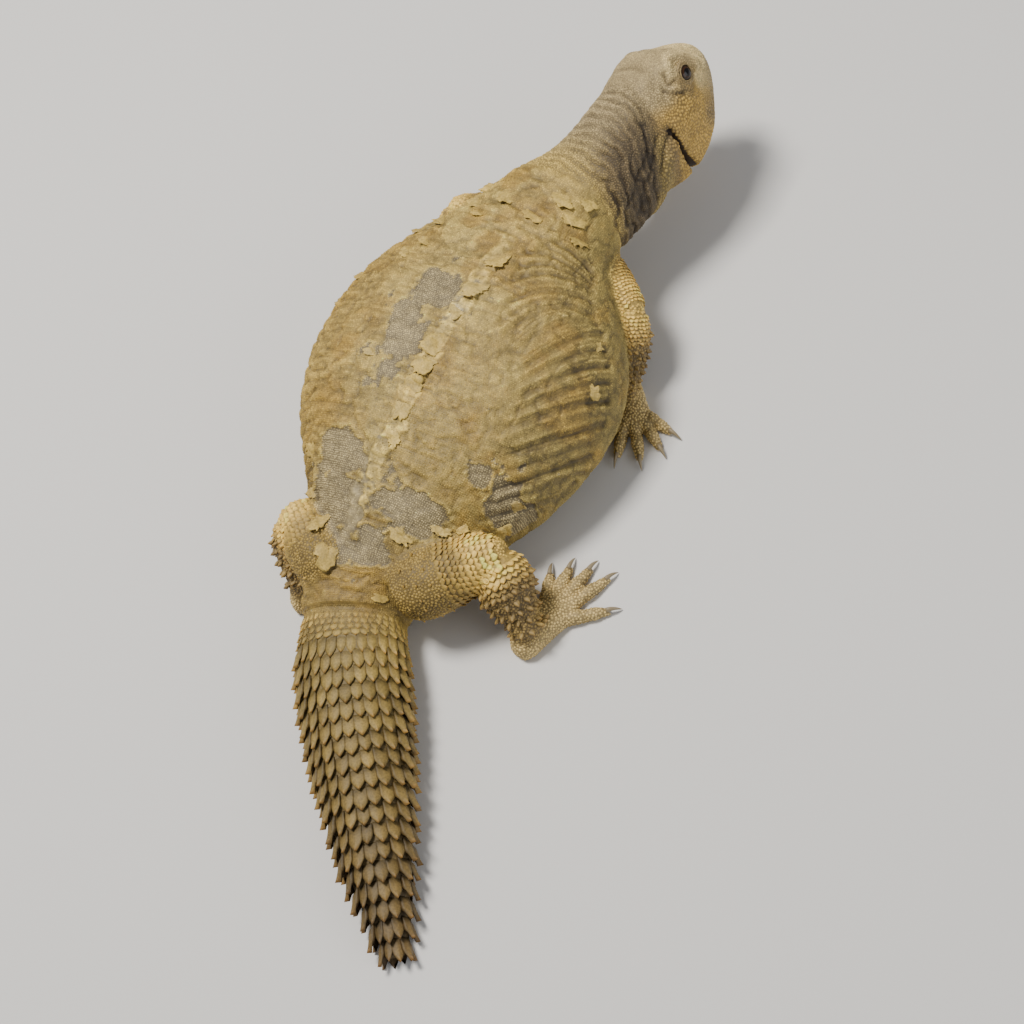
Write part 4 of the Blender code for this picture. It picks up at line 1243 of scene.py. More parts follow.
def leaf(rows, columns, keel=0.5, free=0.0):
    """A keeled scale, from its root at y = 0 to its tip at y = 1, closed underneath.

    From free onwards its underside rises out of the skin to the tip."""
    points, shade = [], []
    for r in range(rows + 1):
        t = r / rows
        wide = 1.0 if t < 0.5 else 1 - ((t - 0.5) / 0.5) ** 1.6
        wide = max(wide, 0.03)
        for c in range(columns + 1):
            v = 2 * c / columns - 1
            ridge = 1 - keel * abs(v) ** 1.4
            rise = 0.75 * float(step(0.0, 0.30, t)) + 0.75 * t**2.5 if free else float(step(0.0, 0.85, t))
            points.append((v * wide, t, rise * ridge))
            # Painted shade: darker at the root, under the tips of the row before, and towards the sides; the
            # warmer tip is the scale's own colour.
            light = 0.45 + 0.55 * float(step(0.05, 0.55, t))
            edge = 1 - 0.35 * abs(v) ** 3
            warm = float(step(0.75, 1.0, t))
            shade.append((light * edge * (1 + 0.25 * warm), light * edge, light * edge * (1 - 0.2 * warm)))
    faces = []
    for r in range(rows):
        for c in range(columns):
            a = r * (columns + 1) + c
            b = a + columns + 1
            faces += [(a, a + 1, b + 1), (a, b + 1, b)]
    top = len(points)
    for x, y, z in points[:top]:
        below = min(z - 0.12, 1.8 * float(step(free, 1.0, y)) - 0.6) if free else z - 0.60 + 0.25 * y
        points.append((x, y, below))
    # Painted shade: the underside is darker.
    shade += [(0.45, 0.40, 0.33)] * top
    faces += [(c + top, b + top, a + top) for a, b, c in faces[:]]
    rim = list(range(columns + 1))
    rim += [r * (columns + 1) + columns for r in range(1, rows + 1)]
    rim += [rows * (columns + 1) + c for c in range(columns - 1, -1, -1)]
    rim += [r * (columns + 1) for r in range(rows - 1, 0, -1)]
    for a, b in zip(rim, rim[1:] + rim[:1]):
        faces += [(b, a, a + top), (b, a + top, b + top)]
    return np.array(points), np.array(faces), np.array(shade)


def triangle_mesh(name, points, faces):
    mesh = bpy.data.meshes.new(name)
    mesh.vertices.add(len(points))
    mesh.vertices.foreach_set("co", points.astype(np.float32).ravel())
    mesh.loops.add(len(faces) * 3)
    mesh.loops.foreach_set("vertex_index", faces.astype(np.int32).ravel())
    mesh.polygons.add(len(faces))
    mesh.polygons.foreach_set("loop_start", np.arange(0, len(faces) * 3, 3, dtype=np.int32))
    mesh.update(calc_edges=True)
    obj = bpy.data.objects.new(name, mesh)
    bpy.context.scene.collection.objects.link(obj)
    return obj


def unwrap(at):
    """Each point's place on a flat map of the body, neck, head, limbs and feet."""
    s, side, up = at["s"], at["side"], at["up"]
    around = np.arctan2(side, up) / (2 * np.pi) + 0.5
    flat = np.stack([0.02 + (s + 0.20) / 0.48 * 0.96, 0.02 + around * 0.44], 1)
    neck = at["region"] == NECKED
    turn = at["neck_angle"] / (2 * np.pi) + 0.5
    flat[neck] = np.stack([0.02 + at["neck"] * 0.20, 0.50 + turn * 0.22], 1)[neck]
    head = at["region"] == HEADED
    local = at["head"]
    turn = np.arctan2(local[:, 0], local[:, 2] + 0.012) / (2 * np.pi) + 0.5
    flat[head] = np.stack([0.28 + local[:, 1] / 0.07 * 0.24, 0.50 + turn * 0.22], 1)[head]
    for k, (t, angle) in enumerate(at["limb"]):
        mine = at["region"] == LIMBED + k
        u = 0.56 + 0.11 * (k % 4) + np.clip(t, 0, 1.2) * 0.08
        v = 0.50 + 0.12 * (k // 4) + (angle / (2 * np.pi) + 0.5) * 0.10
        flat[mine] = np.stack([u, v], 1)[mine]
    for k, key in enumerate(LIMBS):
        mine = at["region"] == FOOTED + k
        origin, axes = foot_place(key)
        own = (at["points"] - origin) @ axes.T
        u = 0.05 + 0.22 * k + (own[:, 0] + 0.03) * 2.6
        flat[mine] = np.stack([u, 0.76 + (own[:, 1] + 0.02) * 2.6], 1)[mine]
    return np.clip(flat, 0.004, 0.996)


def stamp(name, template, seeds, limit=190000):
    """Joined meshes with the template's shape at every seed, each under the limit of faces."""
    shape, faces, shade = template
    total = len(seeds["at"])
    per = max(1, min(total, limit // len(faces)))
    made = []
    for number, first in enumerate(range(0, total, per)):
        pick = slice(first, first + per)
        at, up, lie = seeds["at"][pick], seeds["up"][pick], seeds["lie"][pick]
        right = np.cross(lie, up)
        size = seeds["size"][pick]
        count = len(at)
        points = at[:, None] + shape[None, :, 0:1] * size[:, None, 0:1] * right[:, None]
        points = points + shape[None, :, 1:2] * size[:, None, 1:2] * lie[:, None]
        points = points + shape[None, :, 2:3] * size[:, None, 2:3] * up[:, None]
        points[..., 2] = np.maximum(points[..., 2], 0.00005)
        shift = np.arange(count)[:, None, None] * len(shape)
        obj = triangle_mesh(f"{name}_{number + 1}", points.reshape(-1, 3), (faces[None] + shift).reshape(-1, 3))
        colour = np.clip(seeds["colour"][pick][:, None] * shade[None], 0.003, 0.95)
        set_marks(obj, colour.reshape(-1, 3))
        layer = obj.data.uv_layers.new(name="OFBake")
        spread = 0.0015 * shape[:, :2] / np.abs(shape[:, :2]).max()
        flat = seeds["flat"][pick][:, None] + spread[None]
        corners = (faces[None] + shift).reshape(-1)
        layer.data.foreach_set("uv", flat.reshape(-1, 2)[corners].astype(np.float32).ravel())
        obj.data.shade_smooth()
        made.append(obj)
    return made


class Hide:
    """The finished skin as a surface to root scales on."""

    def __init__(self, skin, at):
        self.points, self.normals, self.edges = mesh_arrays(skin)
        self.at = at
        self.flat = unwrap(at)
        corners = np.empty(len(skin.data.loops), np.int32)
        skin.data.loops.foreach_get("vertex_index", corners)
        self.faces = corners.reshape(-1, 4)
        self.tree = BVHTree.FromPolygons(self.points.tolist(), self.faces.tolist())
        self.first = self.faces[:, 0]
        self.colour = at["colour"]

    def nearest(self, points, reach):
        """The skin's point, normal and one of its vertices nearest to each of the points."""
        places_, normals, vertices, found = [], [], [], []
        for i, point in enumerate(points):
            place, normal, face, gap = self.tree.find_nearest(Vector(point), reach)
            if place is None:
                continue
            places_.append(tuple(place))
            normals.append(tuple(normal))
            vertices.append(face)
            found.append(i)
        return np.array(places_), np.array(normals), self.first[np.array(vertices)], np.array(found)


def spread_points(points, spacing, rng):
    """Picks of the points, none nearer to another than its own spacing."""
    order = rng.permutation(len(points))
    places_, limits = points[order], spacing[order] ** 2
    grid = np.floor(places_ / spacing.max()).astype(np.int64)
    around = [(a, b, c) for a in (-1, 0, 1) for b in (-1, 0, 1) for c in (-1, 0, 1)]
    cells, kept = {}, []
    flat = places_.tolist()
    for i, (x, y, z) in enumerate(grid.tolist()):
        px, py, pz = flat[i]
        limit = limits[i]
        free = True
        for a, b, c in around:
            for ox, oy, oz in cells.get((x + a, y + b, z + c), ()):
                if (ox - px) ** 2 + (oy - py) ** 2 + (oz - pz) ** 2 < limit:
                    free = False
                    break
            if not free:
                break
        if free:
            cells.setdefault((x, y, z), []).append((px, py, pz))
            kept.append(i)
    return order[np.array(kept)]


def seeds_at(hide, points, normals, vertices, lie, size, rng, vary=0.12):
    """What stamp needs for scales rooted at the points."""
    lie = lie - normals * (lie * normals).sum(1)[:, None]
    lie /= np.linalg.norm(lie, axis=1)[:, None] + 1e-9
    tone = 1 + vary * rng.standard_normal(len(points))
    colour = np.clip(hide.colour[vertices] * tone[:, None], 0.003, 0.95)
    return {
        "at": points,
        "up": normals,
        "lie": lie,
        "size": size,
        "colour": colour,
        "flat": hide.flat[vertices],
    }


def trunk_scales(hide, rng):
    """Rows of small domes round the trunk."""
    rows = []
    ring = np.linspace(0, 2 * np.pi, 721)
    row, s = 0, -FIRST_WHORL
    while s < TRUNK_LENGTH + 0.004:
        line = body_points(np.full(721, s), ring)
        run = np.concatenate([[0], np.cumsum(np.linalg.norm(np.diff(line, axis=0), axis=1))])
        count = int(run[-1] / 0.00125)
        marks = (np.arange(count) + 0.5 * (row % 2) + 0.2 * rng.uniform(-1, 1, count)) * run[-1] / count
        angles = np.interp(marks, run, ring)
        jitter = s + 0.0002 * rng.uniform(-1, 1, count)
        rows.append(body_points(jitter, angles))
        row, s = row + 1, s + 0.00108
    points = np.concatenate(rows)
    points, normals, vertices, found = hide.nearest(points, 0.0045)
    bared = (strip_share(hide.at)[vertices] > 0.5) & (rng.uniform(0, 1, len(vertices)) > 0.35)
    keep = (hide.at["region"][vertices] == BODY) & ~bared
    points, normals, vertices = points[keep], normals[keep], vertices[keep]
    ahead = spine(hide.at["s"][vertices])[2]
    wide = 0.00062 * (1 + 0.12 * rng.standard_normal(len(points)))
    size = np.stack([wide, wide * 0.88, wide * 0.85], 1)
    seeds = seeds_at(hide, points, normals, vertices, -ahead, size, rng, 0.16)
    bare = patch_share(hide.at)[vertices][:, None]
    seeds["colour"] = np.clip(seeds["colour"] * (1.0 + 0.45 * bare), 0.003, 0.9)
    return stamp("trunk_scales", dome(1), seeds)


def surface_points(hide, regions, count, rng):
    """Random points of the skin's faces in some regions, with their normals and vertices."""
    faces = hide.faces[np.isin(hide.at["region"][hide.faces[:, 0]], regions)]
    corners = hide.points[faces]
    a = np.linalg.norm(np.cross(corners[:, 1] - corners[:, 0], corners[:, 2] - corners[:, 0]), axis=1)
    pick = rng.choice(len(faces), count, p=a / a.sum())
    u, v = rng.uniform(0, 1, (2, count, 1))
    mesh = corners[pick]
    points = (mesh[:, 0] * (1 - u) + mesh[:, 1] * u) * (1 - v) + (mesh[:, 3] * (1 - u) + mesh[:, 2] * u) * v
    corner = (u[:, 0] > 0.5).astype(int)
    corner = np.where(v[:, 0] > 0.5, 3 - corner, corner)
    vertices = faces[pick, corner]
    return points, hide.normals[vertices], vertices


def granules(name, hide, regions, spacing, template, high, rng, fill=0.64, keep=None):
    """Domes spread evenly over some regions of the skin; spacing gives theirs from the places."""
    points, normals, vertices = surface_points(hide, regions, DARTS[name], rng)
    gap = spacing(hide.at, vertices) if callable(spacing) else np.full(len(vertices), spacing)
    if keep is not None:
        wanted = keep(hide.at, vertices)
        points, normals, vertices, gap = points[wanted], normals[wanted], vertices[wanted], gap[wanted]
    chosen = spread_points(points, gap, rng)
    points, normals, vertices, gap = points[chosen], normals[chosen], vertices[chosen], gap[chosen]
    any_way = rng.standard_normal((len(vertices), 3))
    wide = gap * fill * (1 + 0.08 * rng.standard_normal(len(vertices)))
    size = np.stack([wide, wide, wide * high], 1)
    return stamp(name, template, seeds_at(hide, points, normals, vertices, any_way, size, rng))


def limb_surface(k, t, angle):
    """Points on limb part k at shares of its length and angles round it."""
    key, start, stop, profile, share = LIMB_PARTS[k]
    across, along, up = limb_axes(start, stop)
    wide, high = smooth(profile, t, 1) * share, smooth(profile, t, 2) * share
    flat = start + t[:, None] * (stop - start)
    return flat + (wide * np.cos(angle))[:, None] * across + (high * np.sin(angle))[:, None] * up


def limb_rows(k, first, last, pitch, around, rng, loose):
    """Shares and angles of rows of scales round limb part k, the odd rows shifted."""
    key, start, stop, profile, share = LIMB_PARTS[k]
    reach = np.linalg.norm(stop - start)
    shares, angles = [], []
    for row, t in enumerate(np.arange(first, last, pitch / reach)):
        wide = float(smooth(profile, t, 1)) * share
        count = max(6, int(2 * np.pi * wide / around))
        turn = (np.arange(count) + 0.5 * (row % 2) + loose * rng.uniform(-1, 1, count)) / count
        shares.append(t + loose * rng.uniform(-1, 1, count) * pitch / reach)
        angles.append(turn * 2 * np.pi)
    return np.concatenate(shares), np.concatenate(angles)


def limb_leaves(name, hide, rng, plans, template, loose):
    """Pointed scales over the outer side of the limbs: plans give part, reach, spacing and size."""
    groups = {"at": [], "up": [], "vertex": [], "lie": [], "size": []}
    for k, first, last, pitch, around, size, lift in plans:
        t, angle = limb_rows(k, first, last, pitch, around, rng, loose)
        points, up, vertices, found = hide.nearest(limb_surface(k, t, angle), 0.004)
        own = hide.at["region"][vertices]
        keep = (own >= LIMBED) & (own < FOOTED) & (points[:, 2] > 0.004)
        points, up, vertices = points[keep], up[keep], vertices[keep]
        along = limb_axes(*LIMB_PARTS[k][1:3])[1]
        lie = along - up * (up @ along)[:, None]
        lie /= np.linalg.norm(lie, axis=1)[:, None]
        lie = lie * math.cos(lift) + up * math.sin(lift)
        groups["at"].append(points - up * 0.0003)
        groups["up"].append(up - lie * (up * lie).sum(1)[:, None])
        groups["vertex"].append(vertices)
        groups["lie"].append(lie)
        vary = 1 + 0.10 * rng.standard_normal((len(points), 1))
        groups["size"].append(np.array(size) * vary)
    seeds = {key: np.concatenate(groups[key]) for key in groups}
    vertices = seeds.pop("vertex")
    tone = 1.12 + 0.10 * rng.standard_normal((len(vertices), 1))
    seeds["colour"] = np.clip(hide.colour[vertices] * tone, 0.003, 0.95)
    seeds["flat"] = hide.flat[vertices]
    return stamp(name, template, seeds)


def shields(hide, rng):
    """Overlapping shields over the knees and elbows."""
    plans = []
    for k, part in enumerate(LIMB_PARTS):
        grow = 1.0 if part[0].startswith("hind") else 0.72
        first, last = (0.50, 1.06) if k % 2 == 0 else (0.02, 0.42)
        size = (0.0020 * grow, 0.0040 * grow, 0.00085 * grow)
        plans.append((k, first, last, 0.0029 * grow, 0.0035 * grow, size, 0.10))
    return limb_leaves("shields", hide, rng, plans, leaf(5, 6, 0.45), 0.06)


def spikes(hide, rng):
    """Pointed scales scattered over the lower limbs, and a few over the thighs."""
    plans = []
    for k, part in enumerate(LIMB_PARTS):
        grow = 1.0 if part[0].startswith("hind") else 0.75
        if k % 2:
            size = (0.0018 * grow, 0.0040 * grow, 0.0022 * grow)
            plans.append((k, 0.30, 0.98, 0.0056 * grow, 0.0058 * grow, size, 0.36))
        else:
            size = (0.0013 * grow, 0.0024 * grow, 0.0013 * grow)
            plans.append((k, 0.12, 0.50, 0.0080 * grow, 0.0090 * grow, size, 0.22))
    return limb_leaves("spikes", hide, rng, plans, leaf(5, 6, 0.7), 0.22)


def between_shields(at, vertices):
    """Whether the limb's skin is free of shields."""
    free = np.ones(len(vertices), bool)
    for k, (t, angle) in enumerate(at["limb"]):
        first, last = (0.53, 1.1) if k % 2 == 0 else (-0.1, 0.40)
        mine = at["region"][vertices] == LIMBED + k
        free &= ~(mine & (t[vertices] > first) & (t[vertices] < last))
    return free


# Loose flakes of old skin: (arc length, share of the half width, width, length, degrees from
# forwards that the free edge points, how far it stands up)
FLAKES = [
    (0.196, 0.07, 0.009, 0.007, 150, 0.0020),
    (0.177, 0.04, 0.012, 0.011, 165, 0.0022),
    (0.160, 0.02, 0.009, 0.008, 200, 0.0012),
    (0.139, 0.01, 0.011, 0.010, 250, 0.0018),
    (0.127, -0.02, 0.012, 0.011, 170, 0.0018),
    (0.113, -0.02, 0.010, 0.010, 20, 0.0014),
    (0.100, -0.03, 0.009, 0.012, 185, 0.0010),
    (0.085, -0.02, 0.008, 0.009, 160, 0.0010),
    (0.126, -0.38, 0.006, 0.006, 250, 0.0016),
    (0.221, -0.43, 0.009, 0.006, 200, 0.0022),
    (0.196, -0.57, 0.007, 0.005, 220, 0.0020),
    (0.187, -0.62, 0.007, 0.005, 250, 0.0022),
    (0.021, -0.42, 0.011, 0.015, 185, 0.0020),
    (0.034, -0.66, 0.009, 0.012, 150, 0.0026),
    (0.049, -0.86, 0.006, 0.008, 230, 0.0030),
    (0.069, -0.80, 0.007, 0.007, 260, 0.0026),
    (0.042, 0.49, 0.012, 0.006, 195, 0.0020),
    (0.053, 0.74, 0.010, 0.006, 170, 0.0022),
    (0.058, 0.84, 0.006, 0.006, 120, 0.0020),
    (0.069, 0.98, 0.008, 0.009, 100, 0.0026),
    (0.080, 0.95, 0.007, 0.007, 90, 0.0024),
    (0.152, 0.90, 0.007, 0.006, 70, 0.0024),
    (0.179, 0.87, 0.005, 0.005, 60, 0.0020),
    (0.005, 0.60, 0.007, 0.005, 180, 0.0016),
    (0.199, 0.10, 0.006, 0.005, 120, 0.0014),
    (0.236, -0.35, 0.010, 0.008, 215, 0.0026),
    (0.228, -0.62, 0.010, 0.008, 240, 0.0030),
    (0.240, -0.80, 0.009, 0.007, 250, 0.0030),
    (0.212, -0.70, 0.008, 0.006, 235, 0.0028),
    (0.205, -0.82, 0.007, 0.006, 255, 0.0028),
    (0.172, -0.86, 0.006, 0.005, 260, 0.0024),
    (0.158, -0.93, 0.006, 0.005, 265, 0.0024),
    (0.250, 0.30, 0.011, 0.008, 170, 0.0022),
    (0.243, 0.52, 0.012, 0.008, 165, 0.0024),
    (0.234, 0.68, 0.010, 0.006, 160, 0.0022),
    (0.257, 0.62, 0.009, 0.007, 150, 0.0026),
    (0.232, 0.10, 0.009, 0.006, 190, 0.0016),
]
FLAKE_THICK = 0.00022
FLAKE_ROOT = 0.0006  # how deep a flake's rooted edge lies in the skin


def flake_plans(hide):
    """Place, skin vertex, width, length, way of the free edge and height of every flake."""
    s = np.array([row[0] for row in FLAKES])
    share = np.array([row[1] for row in FLAKES])
    points, _, vertices, found = hide.nearest(body_points(s, angle_of(share)), 0.02)
    _, right, ahead = spine(s)
    plans = []
    for i, point, vertex in zip(found, points, vertices):
        wide, long, degrees, high = FLAKES[i][2:]
        a = math.radians(degrees)
        way = ahead[i] * math.cos(a) + right[i] * math.sin(a)
        plans.append((point, vertex, wide * 1.15, long * 1.25, way, high))
    return plans


def round_sheet(rings, sectors):
    """Shares of the radius, angles and triangles of a closed sheet with a round outline."""
    disc = [(0, 0)]
    disc += [(r / rings, 2 * math.pi * k / sectors) for r in range(1, rings + 1) for k in range(sectors)]
    faces = [(0, 1 + k, 1 + (k + 1) % sectors) for k in range(sectors)]
    for r in range(rings - 1):
        for k in range(sectors):
            a, b = 1 + r * sectors + k, 1 + r * sectors + (k + 1) % sectors
            faces += [(a, a + sectors, b + sectors), (a, b + sectors, b)]
    n = len(disc)
    faces += [(c + n, b + n, a + n) for a, b, c in faces[:]]
    last = n - sectors
    for k in range(sectors):
        a, b = last + k, last + (k + 1) % sectors
        faces += [(b, a, a + n), (b, a + n, b + n)]
    return np.array(disc), np.array(faces)


def make_flakes(hide):
    """Thin ragged sheets of old skin, rooted at one edge and curling up at the other."""
    disc, sheet = round_sheet(8, 44)
    reach, turn = disc.T
    n = len(disc)
    points, faces, colours, flat = [], [], [], []
    for number, (point, vertex, wide, long, way, high) in enumerate(flake_plans(hide)):
        up = hide.normals[vertex]
        way = way - up * (way @ up)
        way = way / np.linalg.norm(way)
        outline = np.stack([np.cos(turn), np.sin(turn), np.full(n, number * 3.7)], 1)
        ragged = 1 + 0.34 * rough(outline, 0.8, SEED + 30, 2) + 0.24 * rough(outline, 0.20, SEED + 33, 2)
        x = reach * np.cos(turn) * ragged * wide / 2
        y = reach * np.sin(turn) * ragged * long / 2
        spots = point + x[:, None] * np.cross(way, up) + y[:, None] * way
        ground, normals, vertices, found = hide.nearest(spots, 0.02)
        if len(found) < n:
            continue
        free = np.clip(y / long + 0.5, 0, 1.2)
        crumple = 0.30 * rough(spots, 0.0032, SEED + 31) * free
        lift = high * (free**1.6 + crumple) - FLAKE_ROOT * (1 - step(0.10, 0.42, free))
        top = ground + normals * lift[:, None]
        tint = mixed(np.tile(hide.colour[vertices].mean(0), (n, 1)), SAND, np.full(n, 0.6))
        # Painted shade at the rooted edge and painted light towards the raised free edge, with a random tone.
        tint = tint * (0.78 + 0.28 * free + 0.22 * rough(spots, 0.003, SEED + 32))[:, None]
        faces.append(sheet + 2 * n * len(points))
        points.append(np.concatenate([top, top - normals * FLAKE_THICK]))
        # The underside is a darker copy of the top: painted shade.
        colours.append(np.concatenate([tint, tint * 0.55]))
        flat.append(hide.flat[vertex] + np.tile(disc[:, :1] * (0.0015, 0), (2, 1)))
    points, faces = np.concatenate(points), np.concatenate(faces)
    points[:, 2] = np.maximum(points[:, 2], 0.0002)
    obj = triangle_mesh("old_skin_flakes", points, faces)
    set_marks(obj, np.clip(np.concatenate(colours), 0.003, 0.95))
    layer = obj.data.uv_layers.new(name="OFBake")
    layer.data.foreach_set("uv", np.concatenate(flat)[faces.reshape(-1)].astype(np.float32).ravel())
    obj.data.shade_smooth()
    return [obj]


TAIL_SCALES = [  # (arc length from the vent, width of a scale)
    (-0.182, 0.0044),
    (-0.150, 0.0058),
    (-0.110, 0.0070),
    (-0.075, 0.0070),
    (-0.045, 0.0064),
    (-0.018, 0.0056),
    (0.000, 0.0028),
    (0.010, 0.0026),
]
FIRST_WHORL = 0.018  # arc length behind the vent where the large whorls begin
LARGE_WHORLS = 18
SMALL_WHORLS = 5


def whorl_starts():
    """Arc length and length of each row of scales along the tail."""
    small = FIRST_WHORL / SMALL_WHORLS
    rows = [(-k * small, small) for k in range(1, SMALL_WHORLS)]
    large = (TAIL_LENGTH - FIRST_WHORL) / LARGE_WHORLS
    return rows + [(-FIRST_WHORL - k * large, large) for k in range(LARGE_WHORLS)]


def tail_scales(hide, rng):
    """Whorls of keeled scales, those of the flanks standing out as spines."""
    groups = {"at": [], "up": [], "lie": [], "size": []}
    ring = np.linspace(-0.5 * np.pi, 1.5 * np.pi, 721)
    for number, (s, length) in enumerate(whorl_starts()):
        line = body_points(np.full(721, s), ring)
        run = np.concatenate([[0], np.cumsum(np.linalg.norm(np.diff(line, axis=0), axis=1))])
        count = int(run[-1] / smooth(TAIL_SCALES, s, 1))
        pitch = run[-1] / count
        turns = np.arange(count) + 0.5 * (number % 2) + 0.06 * rng.uniform(-1, 1, count)
        angles = np.interp(turns * pitch % run[-1], run, ring)
        _, right, ahead = spine(np.full(count, s))
        outward = right * np.cos(angles)[:, None] + np.array((0, 0, 1)) * np.sin(angles)[:, None]
        flank = step(0.55, 0.95, np.abs(np.cos(angles))) * (np.sin(angles) > -0.5)
        large = 1.0 if length > 0.006 else 0.35
        lift = 0.02 + 0.05 * flank * large + 0.015 * rng.standard_normal(count)
        below = np.sin(angles) < -0.6
        lie = -ahead * np.cos(lift)[:, None] + outward * np.sin(lift)[:, None]
        up = outward - lie * (outward * lie).sum(1)[:, None]
        up /= np.linalg.norm(up, axis=1)[:, None]
        long = length * (1.28 + 0.10 * flank * large)
        high = pitch * (0.17 + 0.20 * flank * large) * np.where(below, 0.6, 1.0)
        size = np.stack([np.full(count, pitch * 0.54), long, high], 1)
        groups["at"].append(body_points(np.full(count, s), angles, 0.0006))
        groups["up"].append(up)
        groups["lie"].append(lie)
        groups["size"].append(size * (1 + 0.05 * rng.standard_normal((count, 1))))
    seeds = {key: np.concatenate(groups[key]) for key in groups}
    vertices = hide.nearest(seeds["at"], 0.02)[2]
    tone = 1 + 0.12 * rng.standard_normal((len(vertices), 1))
    seeds["colour"] = np.clip(hide.colour[vertices] * 1.25 * tone, 0.003, 0.95)
    seeds["flat"] = hide.flat[vertices]
    return stamp("tail_scales", leaf(10, 8, 0.75, 0.5), seeds)


# ---- Eyes, lids and claws
def eye_material():
    material = bpy.data.materials.new("eye_gloss")
    material.use_nodes = True
    nodes, links = material.node_tree.nodes, material.node_tree.links
    shader = nodes["Principled BSDF"]
    shader.inputs["Roughness"].default_value = 0.16
    shader.inputs["Specular IOR Level"].default_value = 0.35
    where = nodes.new("ShaderNodeTexCoord")
    split = nodes.new("ShaderNodeSeparateXYZ")
    links.new(where.outputs["Object"], split.inputs[0])
    flat = nodes.new("ShaderNodeCombineXYZ")
    links.new(split.outputs["Y"], flat.inputs["Y"])
    links.new(split.outputs["Z"], flat.inputs["Z"])
    radius = nodes.new("ShaderNodeVectorMath")
    radius.operation = "LENGTH"
    links.new(flat.outputs[0], radius.inputs[0])
    ramp = nodes.new("ShaderNodeMapRange")
    ramp.inputs["From Min"].default_value = 0.0
    ramp.inputs["From Max"].default_value = EYE_RADIUS
    links.new(radius.outputs["Value"], ramp.inputs["Value"])
    colours = nodes.new("ShaderNodeValToRGB")
    colours.color_ramp.elements[0].color = (0.004, 0.003, 0.003, 1)
    colours.color_ramp.elements[0].position = 0.36
    colours.color_ramp.elements[1].color = (0.006, 0.004, 0.003, 1)
    colours.color_ramp.elements[1].position = 0.66
    iris = colours.color_ramp.elements.new(0.42)
    iris.color = (0.045, 0.018, 0.006, 1)
    links.new(ramp.outputs["Result"], colours.inputs["Fac"])
    links.new(colours.outputs["Color"], shader.inputs["Base Color"])
    return material


def eye_frame(side, hide):
    """The eye's frame: +X out of the head, square to the skin there, +Z up the head."""
    centre = HEAD_FRAME @ Vector((side * EYE_AT[0], EYE_AT[1], EYE_AT[2]))
    probe = HEAD_FRAME @ Vector((side * (EYE_AT[0] + 0.008), EYE_AT[1], EYE_AT[2]))
    near = np.linalg.norm(hide.points - np.array(probe), axis=1) < 0.009
    out = Vector(hide.normals[near].mean(0)).normalized()
    up = HEAD_FRAME.col[2].to_3d()
    up = (up - out * up.dot(out)).normalized()
    frame_ = Matrix((out, up.cross(out), up)).transposed().to_4x4()
    frame_.translation = centre
    return frame_


def make_eye(name, place):
    eye = ball(name, Vector((0, 0, 0)), (EYE_RADIUS,) * 3, None, 64, 48)
    eye.matrix_world = place
    eye.data.shade_smooth()
    return eye


def lid_ring(name, place, out, radius_y, radius_z, thick, seed):
    """A grooved ring of skin round the eye, and the places and ways of beads over it."""
    turns, n = 96, 24
    rng = random.Random(seed)
    waves = [(rng.uniform(0, 6.28), rng.randint(7, 19)) for _ in range(3)]
    grid, ways = [], []
    for k in range(turns):
        a = 2 * math.pi * k / turns
        swell = 1 + 0.14 * sum(math.sin(f * a + p) for p, f in waves) / 3
        centre = Vector((out, radius_y * math.cos(a), radius_z * math.sin(a)))
        outward = Vector((0, math.cos(a), math.sin(a)))
        for j in range(n):
            b = 2 * math.pi * j / n
            way = outward * math.cos(b) + Vector((1, 0, 0)) * math.sin(b)
            groove = 1 + 0.07 * math.cos(6 * b)
            grid.append(tuple(place @ (centre + way * thick * swell * groove)))
            ways.append(tuple(place.to_3x3() @ way))
    faces = []
    for k in range(turns):
        for j in range(n):
            a, b = k * n + j, k * n + (j + 1) % n
            c, d = ((k + 1) % turns) * n + (j + 1) % n, ((k + 1) % turns) * n + j
            faces.append((a, b, c, d))
    obj = mesh_object(name, np.array(grid), faces)
    obj.data.shade_smooth()
    # Painted shade in the ring's grooves, lighter on its ridges.
    around = np.cos(6 * 2 * np.pi * np.arange(n) / n)
    shade = np.tile(0.80 + 0.20 * around, turns)[:, None]
    uneven = 1 + 0.15 * rough(np.array(grid), 0.002, seed)[:, None]
    set_marks(obj, np.clip(LID * shade * uneven, 0.003, 0.95))
    return obj, np.array(grid), np.array(ways)


def lid_beads(name, grid, ways, rng):
    """Small beads over the outer half of a lid."""
    outer = np.flatnonzero(np.arange(len(grid)) % 24 <= 8)
    chosen = outer[spread_points(grid[outer], np.full(len(outer), 0.00095), rng)]
    count = len(chosen)
    wide = 0.00055 * (1 + 0.1 * rng.standard_normal(count))
    lie = np.cross(ways[chosen], rng.standard_normal((count, 3)))
    lie /= np.linalg.norm(lie, axis=1)[:, None]
    tone = 1.15 + 0.12 * rng.standard_normal((count, 1))
    seeds = {
        "at": grid[chosen],
        "up": ways[chosen],
        "lie": lie,
        "size": np.stack([wide, wide, wide * 0.6], 1),
        "colour": np.clip(LID * tone, 0.003, 0.95),
        "flat": np.full((count, 2), 0.26) + rng.uniform(0, 0.01, (count, 2)),
    }
    return stamp(name, dome(2), seeds)


